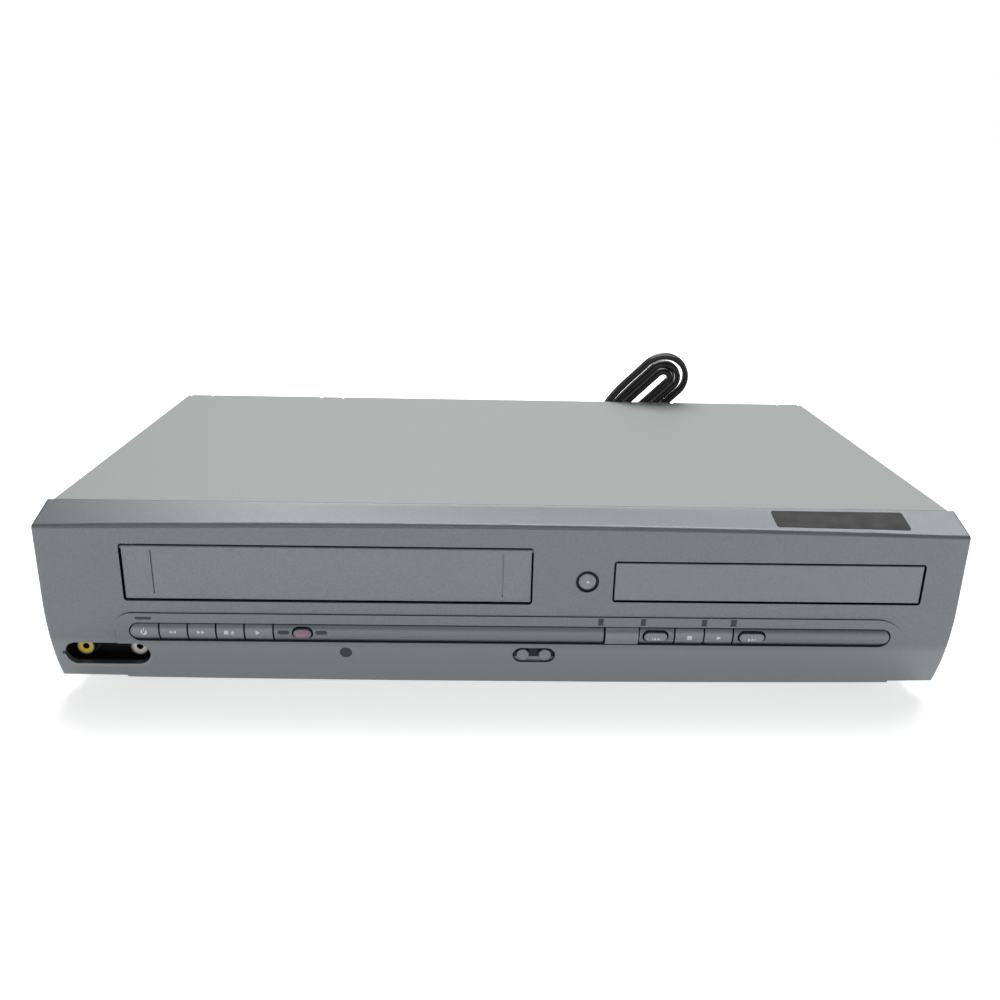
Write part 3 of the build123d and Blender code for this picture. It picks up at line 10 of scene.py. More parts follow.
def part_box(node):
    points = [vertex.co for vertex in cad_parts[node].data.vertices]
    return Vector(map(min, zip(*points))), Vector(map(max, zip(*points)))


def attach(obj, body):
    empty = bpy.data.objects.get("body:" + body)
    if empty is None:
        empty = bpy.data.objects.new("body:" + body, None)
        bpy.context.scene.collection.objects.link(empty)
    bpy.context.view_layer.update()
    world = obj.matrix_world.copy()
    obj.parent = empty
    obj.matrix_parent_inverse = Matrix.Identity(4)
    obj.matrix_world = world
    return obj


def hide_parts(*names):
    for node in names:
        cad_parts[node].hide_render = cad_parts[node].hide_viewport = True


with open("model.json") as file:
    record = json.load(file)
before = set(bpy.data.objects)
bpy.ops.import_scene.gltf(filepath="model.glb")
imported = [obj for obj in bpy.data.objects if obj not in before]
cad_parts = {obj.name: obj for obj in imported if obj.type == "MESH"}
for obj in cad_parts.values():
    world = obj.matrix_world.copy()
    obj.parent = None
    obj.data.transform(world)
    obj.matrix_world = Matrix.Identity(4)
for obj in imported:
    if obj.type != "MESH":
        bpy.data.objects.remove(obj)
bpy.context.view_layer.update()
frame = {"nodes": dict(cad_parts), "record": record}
MM = 0.001

# ---------------------------------------------------------------- places on the object, mm

HEIGHT = 99.5  # table to the top cover
CABINET_DEPTH = 240.0
FACE_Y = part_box("top_cover")[1][1] / MM - CABINET_DEPTH  # plane of the front face, in the row frame
WAIST_Z = HEIGHT - 43.0  # where the face starts to roll under
ROLL_RADIUS = 105.0
BAR_Z = HEIGHT - 59.75  # middle of the row of keys
BAR_HALF = 5.4
BAR_X = (-178.0, 187.0)
KEY_SHADE_Z = (BAR_Z + 2.5, BAR_Z + 5.3)  # painted shade: the dark line along the keys' top edge
# heights over which the painted reflection of the table fades out
LOW_REFLECTION_Z = (BAR_Z - 9.0, BAR_Z - 4.0)
PANEL_X = (-185.3, 194.0)  # ends of the raised control panel
PANEL_TOP = (41.0, 38.3)  # its height at those ends
EDGE_SHADE_LINE = 0.45  # width of the painted shade line at those ends
OPENINGS_X = 212.5  # everything black in the front, painted shade, lies within this of the middle
OPENINGS_Z = (19.5, HEIGHT - 13.5)
OPEN_X = 38.1  # open/close button
OPEN_Z = HEIGHT - 31.1
# painted shade, black, in the gap round the open/close button
OPEN_GAP_RADIUS = 5.8
OPEN_GAP_FROM = 0.12
JACK_MIDDLE = -191.15
JACK_PITCH = 26.0
JACKS = [(JACK_MIDDLE + side * JACK_PITCH / 2, HEIGHT - 72.8) for side in (-1, 1)]
JACK_FRONT = 10.0
SHELL_RADIUS = 4.15
CORE_RADIUS = SHELL_RADIUS - 0.56  # coloured insulator inside a socket's shell
PIN_HOLE = 1.65
PIN_HOLE_FROM = 0.65  # how far behind the shell's end the hole gets painted shade
REAR_PITCH = 17.0
REAR_JACKS = [(-168.0 + REAR_PITCH * column, z) for column in range(3) for z in (52.0, 52.0 - REAR_PITCH)]
REAR_JACKS += [(-104.0 + REAR_PITCH * column, 44.0) for column in range(4)]
REAR_JACK_END = CABINET_DEPTH + 7.2
REAR_OUTSIDE = CABINET_DEPTH + 0.35  # behind the rear panel's sheet
UPPER_ROW_Z = 50.0  # the block's upper row is white, but for its yellow first socket
FIRST_COLUMN_X = -159.5
GREEN_X = (-112.0, -95.0)
BLUE_X = (-95.0, -78.0)
BOARD_TOP = 18.7  # face of the boards that lie in the chassis
PLUG_FACE_X = -118.2
LABEL_X = (126.2, 190.0)
LABEL_DEPTH = (3.4, 16.9)
LABEL_CORNER = 1.6

# How far behind the rolled face a point of the front panel lies, mm, where it takes another colour: painted
# shade.
FLAT_SINK = 0.5  # painted shade, black, above the waist
ROLLED_SINK = 1.5  # painted shade, black, below it
STEP_SINK = (-0.64, -0.06)  # painted shade line on the raised panel's edge
# painted shade line at the raised panel's ends
END_SINK = (-0.75, 0.1)
KEY_SHADE_SINK = (0.45, 0.85)

# ---------------------------------------------------------------- colours

LOW_REFLECTION_GAIN = 1.3  # painted reflection of the table: the face is paler where it turns to it
SHADE_LINE_SHARE = 0.3  # of the front's colour, in its fine lines of painted shade
# painted shade in gaps, holes and recesses
SHADE_BLACK = (0.008, 0.009, 0.01)
FRONT_GREY = (0.135, 0.151, 0.162)
KEY_GREY = (0.16, 0.178, 0.19)
SOCKET_BLACK = (0.012, 0.012, 0.013)


def place(x, depth, z):
    """Metres in the row frame, from millimetres right of the middle, behind the face and above the table."""
    return Vector((x, FACE_Y + depth, z)) * MM


def add_object(name, data):
    made = bpy.data.objects.new(name, data)
    bpy.context.scene.collection.objects.link(made)
    return made


# ---------------------------------------------------------------- materials


class Shader:
    """A Principled material and the short calls that build its nodes."""

    def __init__(self, name, colour, roughness, metallic=0.0):
        self.material = bpy.data.materials.new(name)
        self.material.use_nodes = True
        self.tree = self.material.node_tree
        self.bsdf = self.tree.nodes["Principled BSDF"]
        self.bsdf.inputs["Base Color"].default_value = (*colour, 1)
        self.bsdf.inputs["Roughness"].default_value = roughness
        self.bsdf.inputs["Metallic"].default_value = metallic
        self.colour = colour
        self.painted = None  # colour socket that later paint goes over
        self.coords = self.node("ShaderNodeTexCoord").outputs["Object"]

    def node(self, kind, **values):
        made = self.tree.nodes.new(kind)
        for key, value in values.items():
            setattr(made, key, value)
        return made

    def link(self, source, socket):
        self.tree.links.new(source, socket)

    def math(self, operation, *values):
        made = self.node("ShaderNodeMath", operation=operation)
        for socket, value in zip(made.inputs, values):
            if isinstance(value, (int, float)):
                socket.default_value = value
            else:
                self.link(value, socket)
        return made.outputs["Value"]

    def between(self, value, low, high):
        above = self.math("GREATER_THAN", value, low)
        return self.math("MULTIPLY", above, self.math("LESS_THAN", value, high))

    def axes(self):
        """Millimetres right of the middle, behind the face and above the table, at the shaded point."""
        split = self.node("ShaderNodeSeparateXYZ")
        self.link(self.coords, split.inputs["Vector"])
        x, y, z = (self.math("DIVIDE", split.outputs[axis], MM) for axis in "XYZ")
        return x, self.math("SUBTRACT", y, FACE_Y), z

    def length(self, vector):
        made = self.node("ShaderNodeVectorMath", operation="LENGTH")
        self.link(vector, made.inputs[0])
        return made.outputs["Value"]

    def noise(self, scale, detail=3.0, stretch=None):
        made = self.node("ShaderNodeTexNoise")
        made.inputs["Scale"].default_value = scale
        made.inputs["Detail"].default_value = detail
        source = self.coords
        if stretch:
            mapping = self.node("ShaderNodeMapping")
            mapping.inputs["Scale"].default_value = stretch
            self.link(self.coords, mapping.inputs["Vector"])
            source = mapping.outputs["Vector"]
        self.link(source, made.inputs["Vector"])
        return made.outputs["Fac"]

    def ramp(self, value, low, high, out_low, out_high):
        made = self.node("ShaderNodeMapRange")
        for key, number in zip(("From Min", "From Max", "To Min", "To Max"), (low, high, out_low, out_high)):
            made.inputs[key].default_value = number
        self.link(value, made.inputs["Value"])
        return made.outputs["Result"]

    def mix(self, factor, a, b):
        """Colour a where factor is 0 and b where it is 1. Each is a colour or a socket."""
        made = self.node("ShaderNodeMix", data_type="RGBA")
        self.link(factor, made.inputs["Factor"])
        for socket, value in zip((made.inputs[6], made.inputs[7]), (a, b)):
            if isinstance(value, tuple):
                socket.default_value = (*value, 1)
            else:
                self.link(value, socket)
        return made.outputs[2]

    def tint(self, factor, darker, lighter):
        """Base colour between two shades of the material's colour, by factor."""
        shades = [tuple(c * by for c in self.colour) for by in (darker, lighter)]
        self.show(self.mix(factor, *shades))

    def show(self, colour):
        self.painted = colour
        self.link(colour, self.bsdf.inputs["Base Color"])

    def paint(self, mask, colour):
        """Another colour over what the material has, where mask is 1."""
        self.show(self.mix(mask, self.painted, colour))

    def rough(self, factor, low, high):
        self.link(self.ramp(factor, 0.3, 0.7, low, high), self.bsdf.inputs["Roughness"])

    def bump(self, factor, distance, strength=1.0):
        made = self.node("ShaderNodeBump")
        made.inputs["Strength"].default_value = strength
        made.inputs["Distance"].default_value = distance
        self.link(factor, made.inputs["Height"])
        self.link(made.outputs["Normal"], self.bsdf.inputs["Normal"])


def metallic_paint(name, colour, roughness=0.36):
    """Silver-grey paint: fine flakes in colour and gloss, and a faint orange-peel surface."""
    s = Shader(name, colour, roughness, 0.6)
    s.tint(s.ramp(s.noise(2600.0, 2.0), 0.35, 0.65, 0.0, 1.0), 0.88, 1.12)
    s.rough(s.noise(900.0, 2.0), roughness - 0.05, roughness + 0.07)
    s.bump(s.noise(1400.0, 2.0), 0.00003, 0.2)
    return s


def below_face(s, depth, z):
    """How far the shaded point lies behind the front panel's rolled face, mm."""
    fall = s.math("MAXIMUM", s.math("SUBTRACT", WAIST_Z, z), 0.0)
    chord = s.math("SQRT", s.math("SUBTRACT", ROLL_RADIUS**2, s.math("MULTIPLY", fall, fall)))
    return s.math("SUBTRACT", depth, s.math("SUBTRACT", ROLL_RADIUS, chord))


def key_shade(s, sunk, z):
    """Painted shade: the dark line along the top of the bar, where it rolls in under the panel."""
    return s.math("MULTIPLY", s.ramp(sunk, *KEY_SHADE_SINK, 0.0, 0.92), s.between(z, *KEY_SHADE_Z))


def key_paint(name, colour):
    """The keys' paint, with painted shade along their top edge."""
    s = metallic_paint(name, colour, 0.34)
    _, depth, z = s.axes()
    s.paint(key_shade(s, below_face(s, depth, z), z), SHADE_BLACK)
    return s


def front_paint(name, colour):
    """The front panel's paint, black in painted shade where its openings, gaps and recesses go in, with
    painted shade lines at the raised panel's edges and along the keys' top, and a painted reflection of the
    table low on the face.
    """
    s = metallic_paint(name, colour)
    x, depth, z = s.axes()
    sunk = below_face(s, depth, z)
    upper = s.math("MULTIPLY", s.math("GREATER_THAN", z, WAIST_Z), s.math("GREATER_THAN", sunk, FLAT_SINK))
    deep_shade = s.math("MAXIMUM", upper, s.math("GREATER_THAN", sunk, ROLLED_SINK))
    zone = s.math("MULTIPLY", s.between(z, *OPENINGS_Z), s.between(x, -OPENINGS_X, OPENINGS_X))
    in_bar = s.between(z, BAR_Z - BAR_HALF, BAR_Z + BAR_HALF)
    step = s.math("MULTIPLY", s.between(sunk, *STEP_SINK), s.math("SUBTRACT", 1.0, in_bar))
    left = s.between(x, PANEL_X[0] - EDGE_SHADE_LINE, PANEL_X[0] + 0.02)
    right = s.between(x, PANEL_X[1] - 0.02, PANEL_X[1] + EDGE_SHADE_LINE)
    sides = []
    for line, top in zip((left, right), PANEL_TOP):
        sides.append(s.math("MULTIPLY", line, s.math("LESS_THAN", z, top)))
    ends = s.math("MULTIPLY", s.math("MAXIMUM", *sides), s.between(sunk, *END_SINK))
    ring = disc_mask(s, x, z, [(OPEN_X, OPEN_Z)], OPEN_GAP_RADIUS)
    # painted reflection of the table, paler low on the face
    s.paint(s.ramp(z, *LOW_REFLECTION_Z, 1.0, 0.0), tuple(c * LOW_REFLECTION_GAIN for c in colour))
    # painted shade lines at the raised panel's step and ends
    s.paint(s.math("MAXIMUM", step, ends), tuple(c * SHADE_LINE_SHARE for c in colour))
    # painted shade, black, in the openings, gaps and recesses
    s.paint(s.math("MULTIPLY", deep_shade, zone), SHADE_BLACK)
    # painted shade along the keys' top
    s.paint(s.math("MULTIPLY", key_shade(s, sunk, z), s.between(x, *BAR_X)), SHADE_BLACK)
    # painted shade in the gap round the open/close button
    s.paint(s.math("MULTIPLY", ring, s.math("GREATER_THAN", depth, OPEN_GAP_FROM)), SHADE_BLACK)
    return s


def fine_paint(name, colour, roughness=0.5):
    """Textured paint on sheet steel."""
    s = Shader(name, colour, roughness, 0.2)
    s.tint(s.ramp(s.noise(1800.0, 3.0), 0.3, 0.7, 0.0, 1.0), 0.9, 1.1)
    s.rough(s.noise(700.0, 3.0), roughness - 0.03, roughness + 0.04)
    s.bump(s.noise(2200.0, 2.0), 0.00005, 0.5)
    return s


def moulded(name, colour, roughness=0.5, grain=1500.0, depth=0.00004):
    """Plastic or rubber with a fine grain."""
    s = Shader(name, colour, roughness)
    s.tint(s.ramp(s.noise(grain * 0.4, 3.0), 0.3, 0.7, 0.0, 1.0), 0.88, 1.12)
    s.rough(s.noise(grain * 0.1, 3.0), roughness - 0.06, roughness + 0.06)
    s.bump(s.noise(grain, 2.0), depth, 0.5)
    return s


def zinc(name, colour=(0.36, 0.37, 0.365)):
    """Galvanised sheet with its faint spangle."""
    s = Shader(name, colour, 0.4, 0.9)
    cells = s.node("ShaderNodeTexVoronoi", feature="F1")
    cells.inputs["Scale"].default_value = 320.0
    s.link(s.coords, cells.inputs["Vector"])
    s.tint(s.ramp(cells.outputs["Distance"], 0.0, 0.8, 0.0, 1.0), 0.93, 1.05)
    s.rough(s.noise(300.0, 3.0), 0.42, 0.5)
    return s


def turned(name, colour=(0.78, 0.78, 0.79)):
    """Machined metal with fine lines."""
    s = Shader(name, colour, 0.25, 1.0)
    s.rough(s.noise(700.0, 2.0, stretch=(0.1, 0.1, 6.0)), 0.18, 0.36)
    s.tint(s.ramp(s.noise(300.0, 2.0), 0.3, 0.7, 0.0, 1.0), 0.92, 1.05)
    return s


def board_lacquer(name):
    """Circuit board: green lacquer with lighter tracks."""
    s = Shader(name, (0.03, 0.16, 0.07), 0.35)
    tracks = s.node("ShaderNodeTexBrick")
    tracks.inputs["Scale"].default_value = 120.0
    tracks.inputs["Mortar Size"].default_value = 0.08
    tracks.inputs["Color1"].default_value = (0.02, 0.12, 0.05, 1)
    tracks.inputs["Color2"].default_value = (0.04, 0.17, 0.08, 1)
    tracks.inputs["Mortar"].default_value = (0.07, 0.26, 0.12, 1)
    s.link(s.coords, tracks.inputs["Vector"])
    s.show(tracks.outputs["Color"])
    return s


def loaded_board(name, over=(0.02, 0.02, 0.02)):
    """A lying circuit board with the dark bodies of the parts that stand above its face."""
    s = board_lacquer(name)
    _, _, z = s.axes()
    s.paint(s.math("GREATER_THAN", z, BOARD_TOP), over)
    return s


def disc_mask(s, x, z, centres, radius):
    """1 within radius of the nearest of the centres, across the case."""
    nearest = None
    for centre_x, centre_z in centres:
        flat = s.node("ShaderNodeCombineXYZ")
        s.link(s.math("SUBTRACT", x, centre_x), flat.inputs["X"])
        s.link(s.math("SUBTRACT", z, centre_z), flat.inputs["Z"])
        away = s.length(flat.outputs["Vector"])
        nearest = away if nearest is None else s.math("MINIMUM", nearest, away)
    return s.math("LESS_THAN", nearest, radius)


def socket_parts(name):
    """Phono sockets: black bodies and collars, plated shells darkened by painted shade, a yellow insulator
    and a white one, and painted shade in the pin holes.
    """
    s = moulded(name, SOCKET_BLACK)
    x, depth, z = s.axes()
    shell = disc_mask(s, x, z, JACKS, SHELL_RADIUS + 0.05)
    core = disc_mask(s, x, z, JACKS, CORE_RADIUS)
    left = s.math("LESS_THAN", x, JACK_MIDDLE)
    inside = s.math("GREATER_THAN", depth, JACK_FRONT + PIN_HOLE_FROM)
    # plated shells, darkened as painted shade of the recess
    s.paint(shell, (0.12, 0.115, 0.11))
    s.paint(core, s.mix(left, (0.6, 0.58, 0.52), (0.66, 0.5, 0.04)))
    # painted shade in the pin holes
    s.paint(s.math("MULTIPLY", disc_mask(s, x, z, JACKS, PIN_HOLE), inside), SHADE_BLACK)
    s.link(s.math("SUBTRACT", shell, core), s.bsdf.inputs["Metallic"])
    return s


def rear_socket_parts(name):
    """The rear sockets' black body, plated shells and coloured insulators, with painted shade in the pin
    holes.
    """
    s = moulded(name, (0.02, 0.02, 0.02))
    x, depth, z = s.axes()
    outside = s.math("GREATER_THAN", depth, REAR_OUTSIDE)
    core = s.math("MULTIPLY", disc_mask(s, x, z, REAR_JACKS, CORE_RADIUS), outside)
    inside = s.math("LESS_THAN", depth, REAR_JACK_END - PIN_HOLE_FROM)
    upper = s.math("GREATER_THAN", z, UPPER_ROW_Z)
    first = s.math("LESS_THAN", x, FIRST_COLUMN_X)
    colour = s.mix(upper, (0.55, 0.02, 0.015), (0.7, 0.68, 0.63))
    colour = s.mix(s.math("MULTIPLY", first, upper), colour, (0.75, 0.5, 0.03))
    for reach, shade in ((GREEN_X, (0.02, 0.3, 0.08)), (BLUE_X, (0.02, 0.07, 0.4))):
        colour = s.mix(s.between(x, *reach), colour, shade)
    s.paint(outside, (0.6, 0.58, 0.55))
    s.paint(core, colour)
    # painted shade in the pin holes
    s.paint(s.math("MULTIPLY", disc_mask(s, x, z, REAR_JACKS, PIN_HOLE), inside), SHADE_BLACK)
    s.link(s.math("SUBTRACT", outside, core), s.bsdf.inputs["Metallic"])
    return s


def plug_parts(name):
    """The moulded plug with its plated blades."""
    s = moulded(name, SOCKET_BLACK, 0.4)
    blades = s.math("LESS_THAN", s.axes()[0], PLUG_FACE_X)
    s.paint(blades, (0.7, 0.62, 0.4))
    s.link(blades, s.bsdf.inputs["Metallic"])
    return s


mats = {
    "painted_front": front_paint("silver_front", FRONT_GREY),
    "door_grey": metallic_paint("silver_door", (0.15, 0.167, 0.178), 0.36),
    "button_grey": key_paint("silver_button", KEY_GREY),
    "record_red": metallic_paint("record_button_grey", (0.15, 0.138, 0.152), 0.38),
    "lens_dark": moulded("smoked_lens", (0.006, 0.0065, 0.008), 0.35),
    "painted_steel": fine_paint("cover_paint", (0.3, 0.324, 0.314)),
    "black_plastic": moulded("black_plastic", (0.014, 0.014, 0.015), 0.45),
    "zinc_steel": zinc("zinc_sheet"),
    "drum_alloy": turned("drum_alloy"),
    "white_plastic": moulded("natural_plastic", (0.72, 0.71, 0.66), 0.45),
    "grey_plastic": moulded("grey_plastic", (0.12, 0.12, 0.125), 0.45),
    "rubber_black": moulded("black_rubber", (0.012, 0.012, 0.012), 0.75),
    "board_green": board_lacquer("board_green"),
    "motor_steel": turned("plated_steel", (0.62, 0.62, 0.62)),
    "jack_plastic": socket_parts("front_sockets"),
    "cord_black": moulded("cord_black", (0.009, 0.009, 0.011), 0.24),
}
own = {  # nodes whose solid is of more than one material
    "main_board": loaded_board("main_board"),
    "power_board": loaded_board("power_board", (0.05, 0.05, 0.055)),
    "rear_socket_board": rear_socket_parts("rear_sockets"),
    "mains_plug": plug_parts("mains_plug"),
}


def dress_cad():
    for row in frame["record"]["subparts"]:
        cad = frame["nodes"][row["node"]]
        shader = own.get(row["node"], mats[row["material_slot"]])
        cad.data.materials.clear()
        cad.data.materials.append(shader.material)


# ---------------------------------------------------------------- print and label


def surface(node):
    """A finder of the point of a CAD node that a line from start along way meets first."""
    cad = frame["nodes"][node]
    corners = [v.co[:] for v in cad.data.vertices]
    tree = BVHTree.FromPolygons(corners, [p.vertices[:] for p in cad.data.polygons])

    def meet(start, way):
        found = tree.ray_cast(start, way)[0]
        if found is None:
            raise ValueError("nothing of " + node + " at " + str(start[:]))
        return found

    return meet


CLEAR = 20.0  # where the search for the printed surface starts, outside it


def printed(name, node, body, outlines, material, way=(0, 1, 0), step=0.4, lift=0.04):
    """Thin print that lies on a node. Outlines are closed, of (x, z), or of (x, depth) on the top, in mm."""
    way = Vector(way)
    flat = way.z != 0
    bm = bmesh.new()
    for outline in outlines:
        bm.faces.new([bm.verts.new((a, 0, b)) for a, b in outline])
    bmesh.ops.triangulate(bm, faces=bm.faces[:])
    for axis, normal in ((0, (1, 0, 0)), (2, (0, 0, 1))):
        low = min(v.co[axis] for v in bm.verts)
        high = max(v.co[axis] for v in bm.verts)
        for cut in range(1, int((high - low) / step) + 1):
            where = [0, 0, 0]
            where[axis] = low + cut * step
            geometry = bm.verts[:] + bm.edges[:] + bm.faces[:]
            bmesh.ops.bisect_plane(bm, geom=geometry, plane_co=where, plane_no=normal, dist=0.001)
    meet = surface(node)
    for v in bm.verts:
        a, b = v.co.x, v.co.z
        start = place(a, b, HEIGHT + CLEAR) if flat else place(a, -CLEAR, b)
        v.co = meet(start, way) - way * lift * MM
    mesh = bpy.data.meshes.new(name)
    bm.to_mesh(mesh)
    bm.free()
    piece = add_object(name, mesh)
    mesh.materials.append(material)
    thick = piece.modifiers.new("thickness", "SOLIDIFY")
    thick.thickness = lift * MM * 0.5
    thick.offset = 0
    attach(piece, body)


def arc(x, z, radius, start, end, count=12):
    turns = [math.radians(start + (end - start) * i / count) for i in range(count + 1)]
    return [(x + radius * math.cos(t), z + radius * math.sin(t)) for t in turns]


def triangle(x, z, size, way=1):
    """A play mark, pointing right, or left where way is -1."""
    half = size / 2
    return [(x - way * half * 0.8, z - half), (x + way * half * 0.9, z), (x - way * half * 0.8, z + half)]


def square(x, z, wide, tall):
    corners = ((-0.5, -0.5), (0.5, -0.5), (0.5, 0.5), (-0.5, 0.5))
    return [(x + wide * across, z + tall * up) for across, up in corners]


def ring_piece(x, z, radius, width, start, end):
    return arc(x, z, radius + width / 2, start, end) + arc(x, z, radius - width / 2, end, start)


def rounded(a, b, radius):
    """A rectangle over the ranges a and b, with round corners."""
    corners = ((a[1] - radius, b[1] - radius, 0), (a[0] + radius, b[1] - radius, 90))
    corners += ((a[0] + radius, b[0] + radius, 180), (a[1] - radius, b[0] + radius, 270))
    return [point for x, y, turn in corners for point in arc(x, y, radius, turn, turn + 90, 6)]


def eject_mark(x, z, size):
    return [(x - size / 2, z - size * 0.3), (x + size / 2, z - size * 0.3), (x, z + size * 0.45)]


def marks():
    """What is printed on each button: node, and its outlines."""
    disc_z = BAR_Z - 0.6
    skip_z = BAR_Z - 0.9
    power_x = -171.8
    eject_x = -129.9
    play = 2.4  # height of a play mark
    wind = 1.9
    skip = 1.5
    bar = 0.35  # width of a skip mark's bar
    return {
        "power_button": [
            ring_piece(power_x, BAR_Z - 0.2, 1.35, 0.42, 120, 420),
            square(power_x, BAR_Z + 1.2, 0.42, 1.7),
        ],
        "rewind_button": [triangle(-159.3, BAR_Z, wind, -1), triangle(-157.4, BAR_Z, wind, -1)],
        "fast_forward_button": [triangle(-145.9, BAR_Z, wind), triangle(-144.0, BAR_Z, wind)],
        "stop_eject_button": [
            square(-132.9, BAR_Z, 2.0, 2.0),
            eject_mark(eject_x, BAR_Z + 0.2, wind),
            square(eject_x, BAR_Z - 0.9, wind, 0.3),
        ],
        "cassette_play_button": [triangle(-118.0, BAR_Z, play)],
        "record_button": [square(-96.9, BAR_Z - 0.5, 5.2, 0.9)],
        "previous_button": [
            square(71.0, skip_z, bar, skip),
            triangle(72.2, skip_z, skip, -1),
            triangle(73.8, skip_z, skip, -1),
        ],
        "disc_stop_button": [square(89.2, disc_z, 2.3, 2.2)],
        "disc_play_button": [triangle(103.5, disc_z, play)],
        "next_button": [
            triangle(118.1, skip_z, skip),
            triangle(119.7, skip_z, skip),
            square(120.9, skip_z, bar, skip),
        ],
        "open_close_button": [eject_mark(OPEN_X + 0.3, OPEN_Z - 0.1, wind)],
    }


def add_marks():
    white = moulded("print_pale", (0.5, 0.54, 0.55), 0.6).material
    red = moulded("print_red", (0.36, 0.12, 0.14), 0.6).material
    for node, outlines in marks().items():
        ink = red if node == "record_button" else white
        printed(node + "_mark", node, node, outlines, ink)


def add_label():
    """The black label on the front panel's top, left blank."""
    black = moulded("label_black", (0.012, 0.012, 0.013), 0.7, depth=0.00001).material
    outline = rounded(LABEL_X, LABEL_DEPTH, LABEL_CORNER)
    printed("blank_label", "front_panel", "case", [outline], black, way=(0, 0, -1), step=2.0, lift=0.12)


# ---------------------------------------------------------------- mains cord

CORD_WIDE = 6.6
CORD_THICK = 3.8
CORE_OFFSET = 1.4  # of each of the two round cores from the cord's middle
GROOVE_HALF = 1.55
RELIEF_X = 165.0
RELIEF_Z = 36.0
RELIEF_END = CABINET_DEPTH + 22.0
TABLE = 2.3  # cord's middle above the table where it lies
HANK_LEAN = math.radians(13.0)
HANK_RISE = math.radians(48.0)
HANK_RUN = 131.0
LOOPS_IN = 3
LOOPS_OUT = 1
LOOP_STEP = 5.6
WAIST_STEP = 4.1
WAIST_HALF = 16.0  # how far the waist reaches along the hank, either way from the tie
HANK_FIRST = 17.2
ENTRY_RADIUS = 18.5
ENTRY_SHORT = math.radians(6.0)  # by which the first turn ends early
ENTRY_STEPS = 3
EXIT_TURN = math.radians(36.0)
EXIT_WIDER = 1.0
WAIST_FIRST = 12.3
NEAR_END = 0.41  # of a loop's radius, from where it turns to its nearest point on the run
LAYER_STEP = 7.1
HANK_LOW_X = 28.0
PLUG_X = -92.0
PLUG_DEPTH = CABINET_DEPTH + 46.0
PLUG_Z = 9.5
LOW_UP = ENTRY_RADIUS + (ENTRY_RADIUS - HANK_FIRST) * math.cos(HANK_RISE)
HANK_FLOOR = CORD_THICK / 2 * math.cos(HANK_LEAN) + CORD_WIDE / 2 * math.sin(HANK_LEAN) + 0.3
HANK_DEPTH = CABINET_DEPTH + (CORD_WIDE / 2 + 0.4) / math.cos(HANK_LEAN)
HANK_DEPTH += (HEIGHT - HANK_FLOOR) * math.tan(HANK_LEAN)  # it leans on the cover's rear edge
ACROSS = Vector((0, math.cos(HANK_LEAN), math.sin(HANK_LEAN)))  # from the hank's front layer to its back one


def hank_point(across, up, layer=0.0):
    """A point of the hank's leaning plane, in mm right, behind the face and above the table."""
    depth = HANK_DEPTH - up * math.sin(HANK_LEAN)
    flat = Vector((HANK_LOW_X + across, depth, HANK_FLOOR + up * math.cos(HANK_LEAN)))
    return flat + ACROSS * layer * LAYER_STEP


def strand_point(along, aside, layer=0.0):
    """A point along the hank's long axis and aside from it, to its upper left."""
    across = along * math.cos(HANK_RISE) - aside * math.sin(HANK_RISE)
    return hank_point(across, LOW_UP + along * math.sin(HANK_RISE) + aside * math.cos(HANK_RISE), layer)


def entry_points():
    """Round the bottom of the first loop, from the table up to the long axis's left."""
    centre_aside = HANK_FIRST - ENTRY_RADIUS
    step = (math.radians(90) + HANK_RISE - ENTRY_SHORT) / ENTRY_STEPS
    start = math.radians(-90) - HANK_RISE
    reach = ENTRY_RADIUS / math.cos(step / 2)
    points = []
    for turn in range(ENTRY_STEPS):
        angle = start - step * (turn + 0.5)
        points.append(strand_point(reach * math.cos(angle), centre_aside + reach * math.sin(angle)))
    return points


def run_points(aside, going_up, layer, next_layer):
    """One run of the hank, drawn in at its waist by the tie."""
    sign = 1 if going_up else -1
    narrow = WAIST_FIRST - (HANK_FIRST - aside) * WAIST_STEP / LOOP_STEP
    near, quarter = NEAR_END * aside, HANK_RUN / 4
    places = [(near, aside, layer), (quarter, aside, layer), (HANK_RUN / 2 - WAIST_HALF, narrow, layer)]
    places += [(HANK_RUN / 2 + WAIST_HALF, narrow, layer), (HANK_RUN - quarter, aside, next_layer)]
    places += [(HANK_RUN - near, aside, next_layer)]
    if not going_up:
        places = [(HANK_RUN - along, out, level) for along, out, level in places]
    return [strand_point(along, sign * out, level) for along, out, level in places]


def end_points(aside, next_aside, going_up, layer):
    """The turn at the end of a run."""
    sign = 1 if going_up else -1
    radius = (aside + next_aside) / 2
    middle = sign * (aside - next_aside) / 2
    reach = radius / math.cos(math.radians(22.5))
    along = HANK_RUN if going_up else 0
    points = []
    for turn in (67.5, 22.5, -22.5, -67.5):
        angle = math.radians(turn)
        out = middle + sign * reach * math.sin(angle)
        points.append(strand_point(along + sign * reach * math.cos(angle), out, layer))
    return points


def hank_points():
    """The whole hank: its loops step inwards, then outwards again in the layer behind."""
    sides = [HANK_FIRST - LOOP_STEP / 2 * turn for turn in range(2 * LOOPS_IN)]
    sides += [sides[-1] + LOOP_STEP / 2 * (turn + 1) for turn in range(2 * LOOPS_OUT)]
    points = entry_points()
    layer = 0
    for run, aside in enumerate(sides):
        going_up = run % 2 == 0
        next_layer = 1 if run >= 2 * LOOPS_IN - 1 else 0
        points += run_points(aside, going_up, layer, next_layer)
        layer = next_layer
        if run + 1 < len(sides):
            points += end_points(aside, sides[run + 1], going_up, layer)
    radius = sides[-1] + EXIT_WIDER
    corner = radius * math.tan(EXIT_TURN / 2)
    last = -sides[-1]
    points.append(strand_point(-corner, last, layer))
    along = -corner - (corner + CORD_WIDE) * math.cos(EXIT_TURN)
    points.append(strand_point(along, last + (corner + CORD_WIDE) * math.sin(EXIT_TURN), layer))
    return points


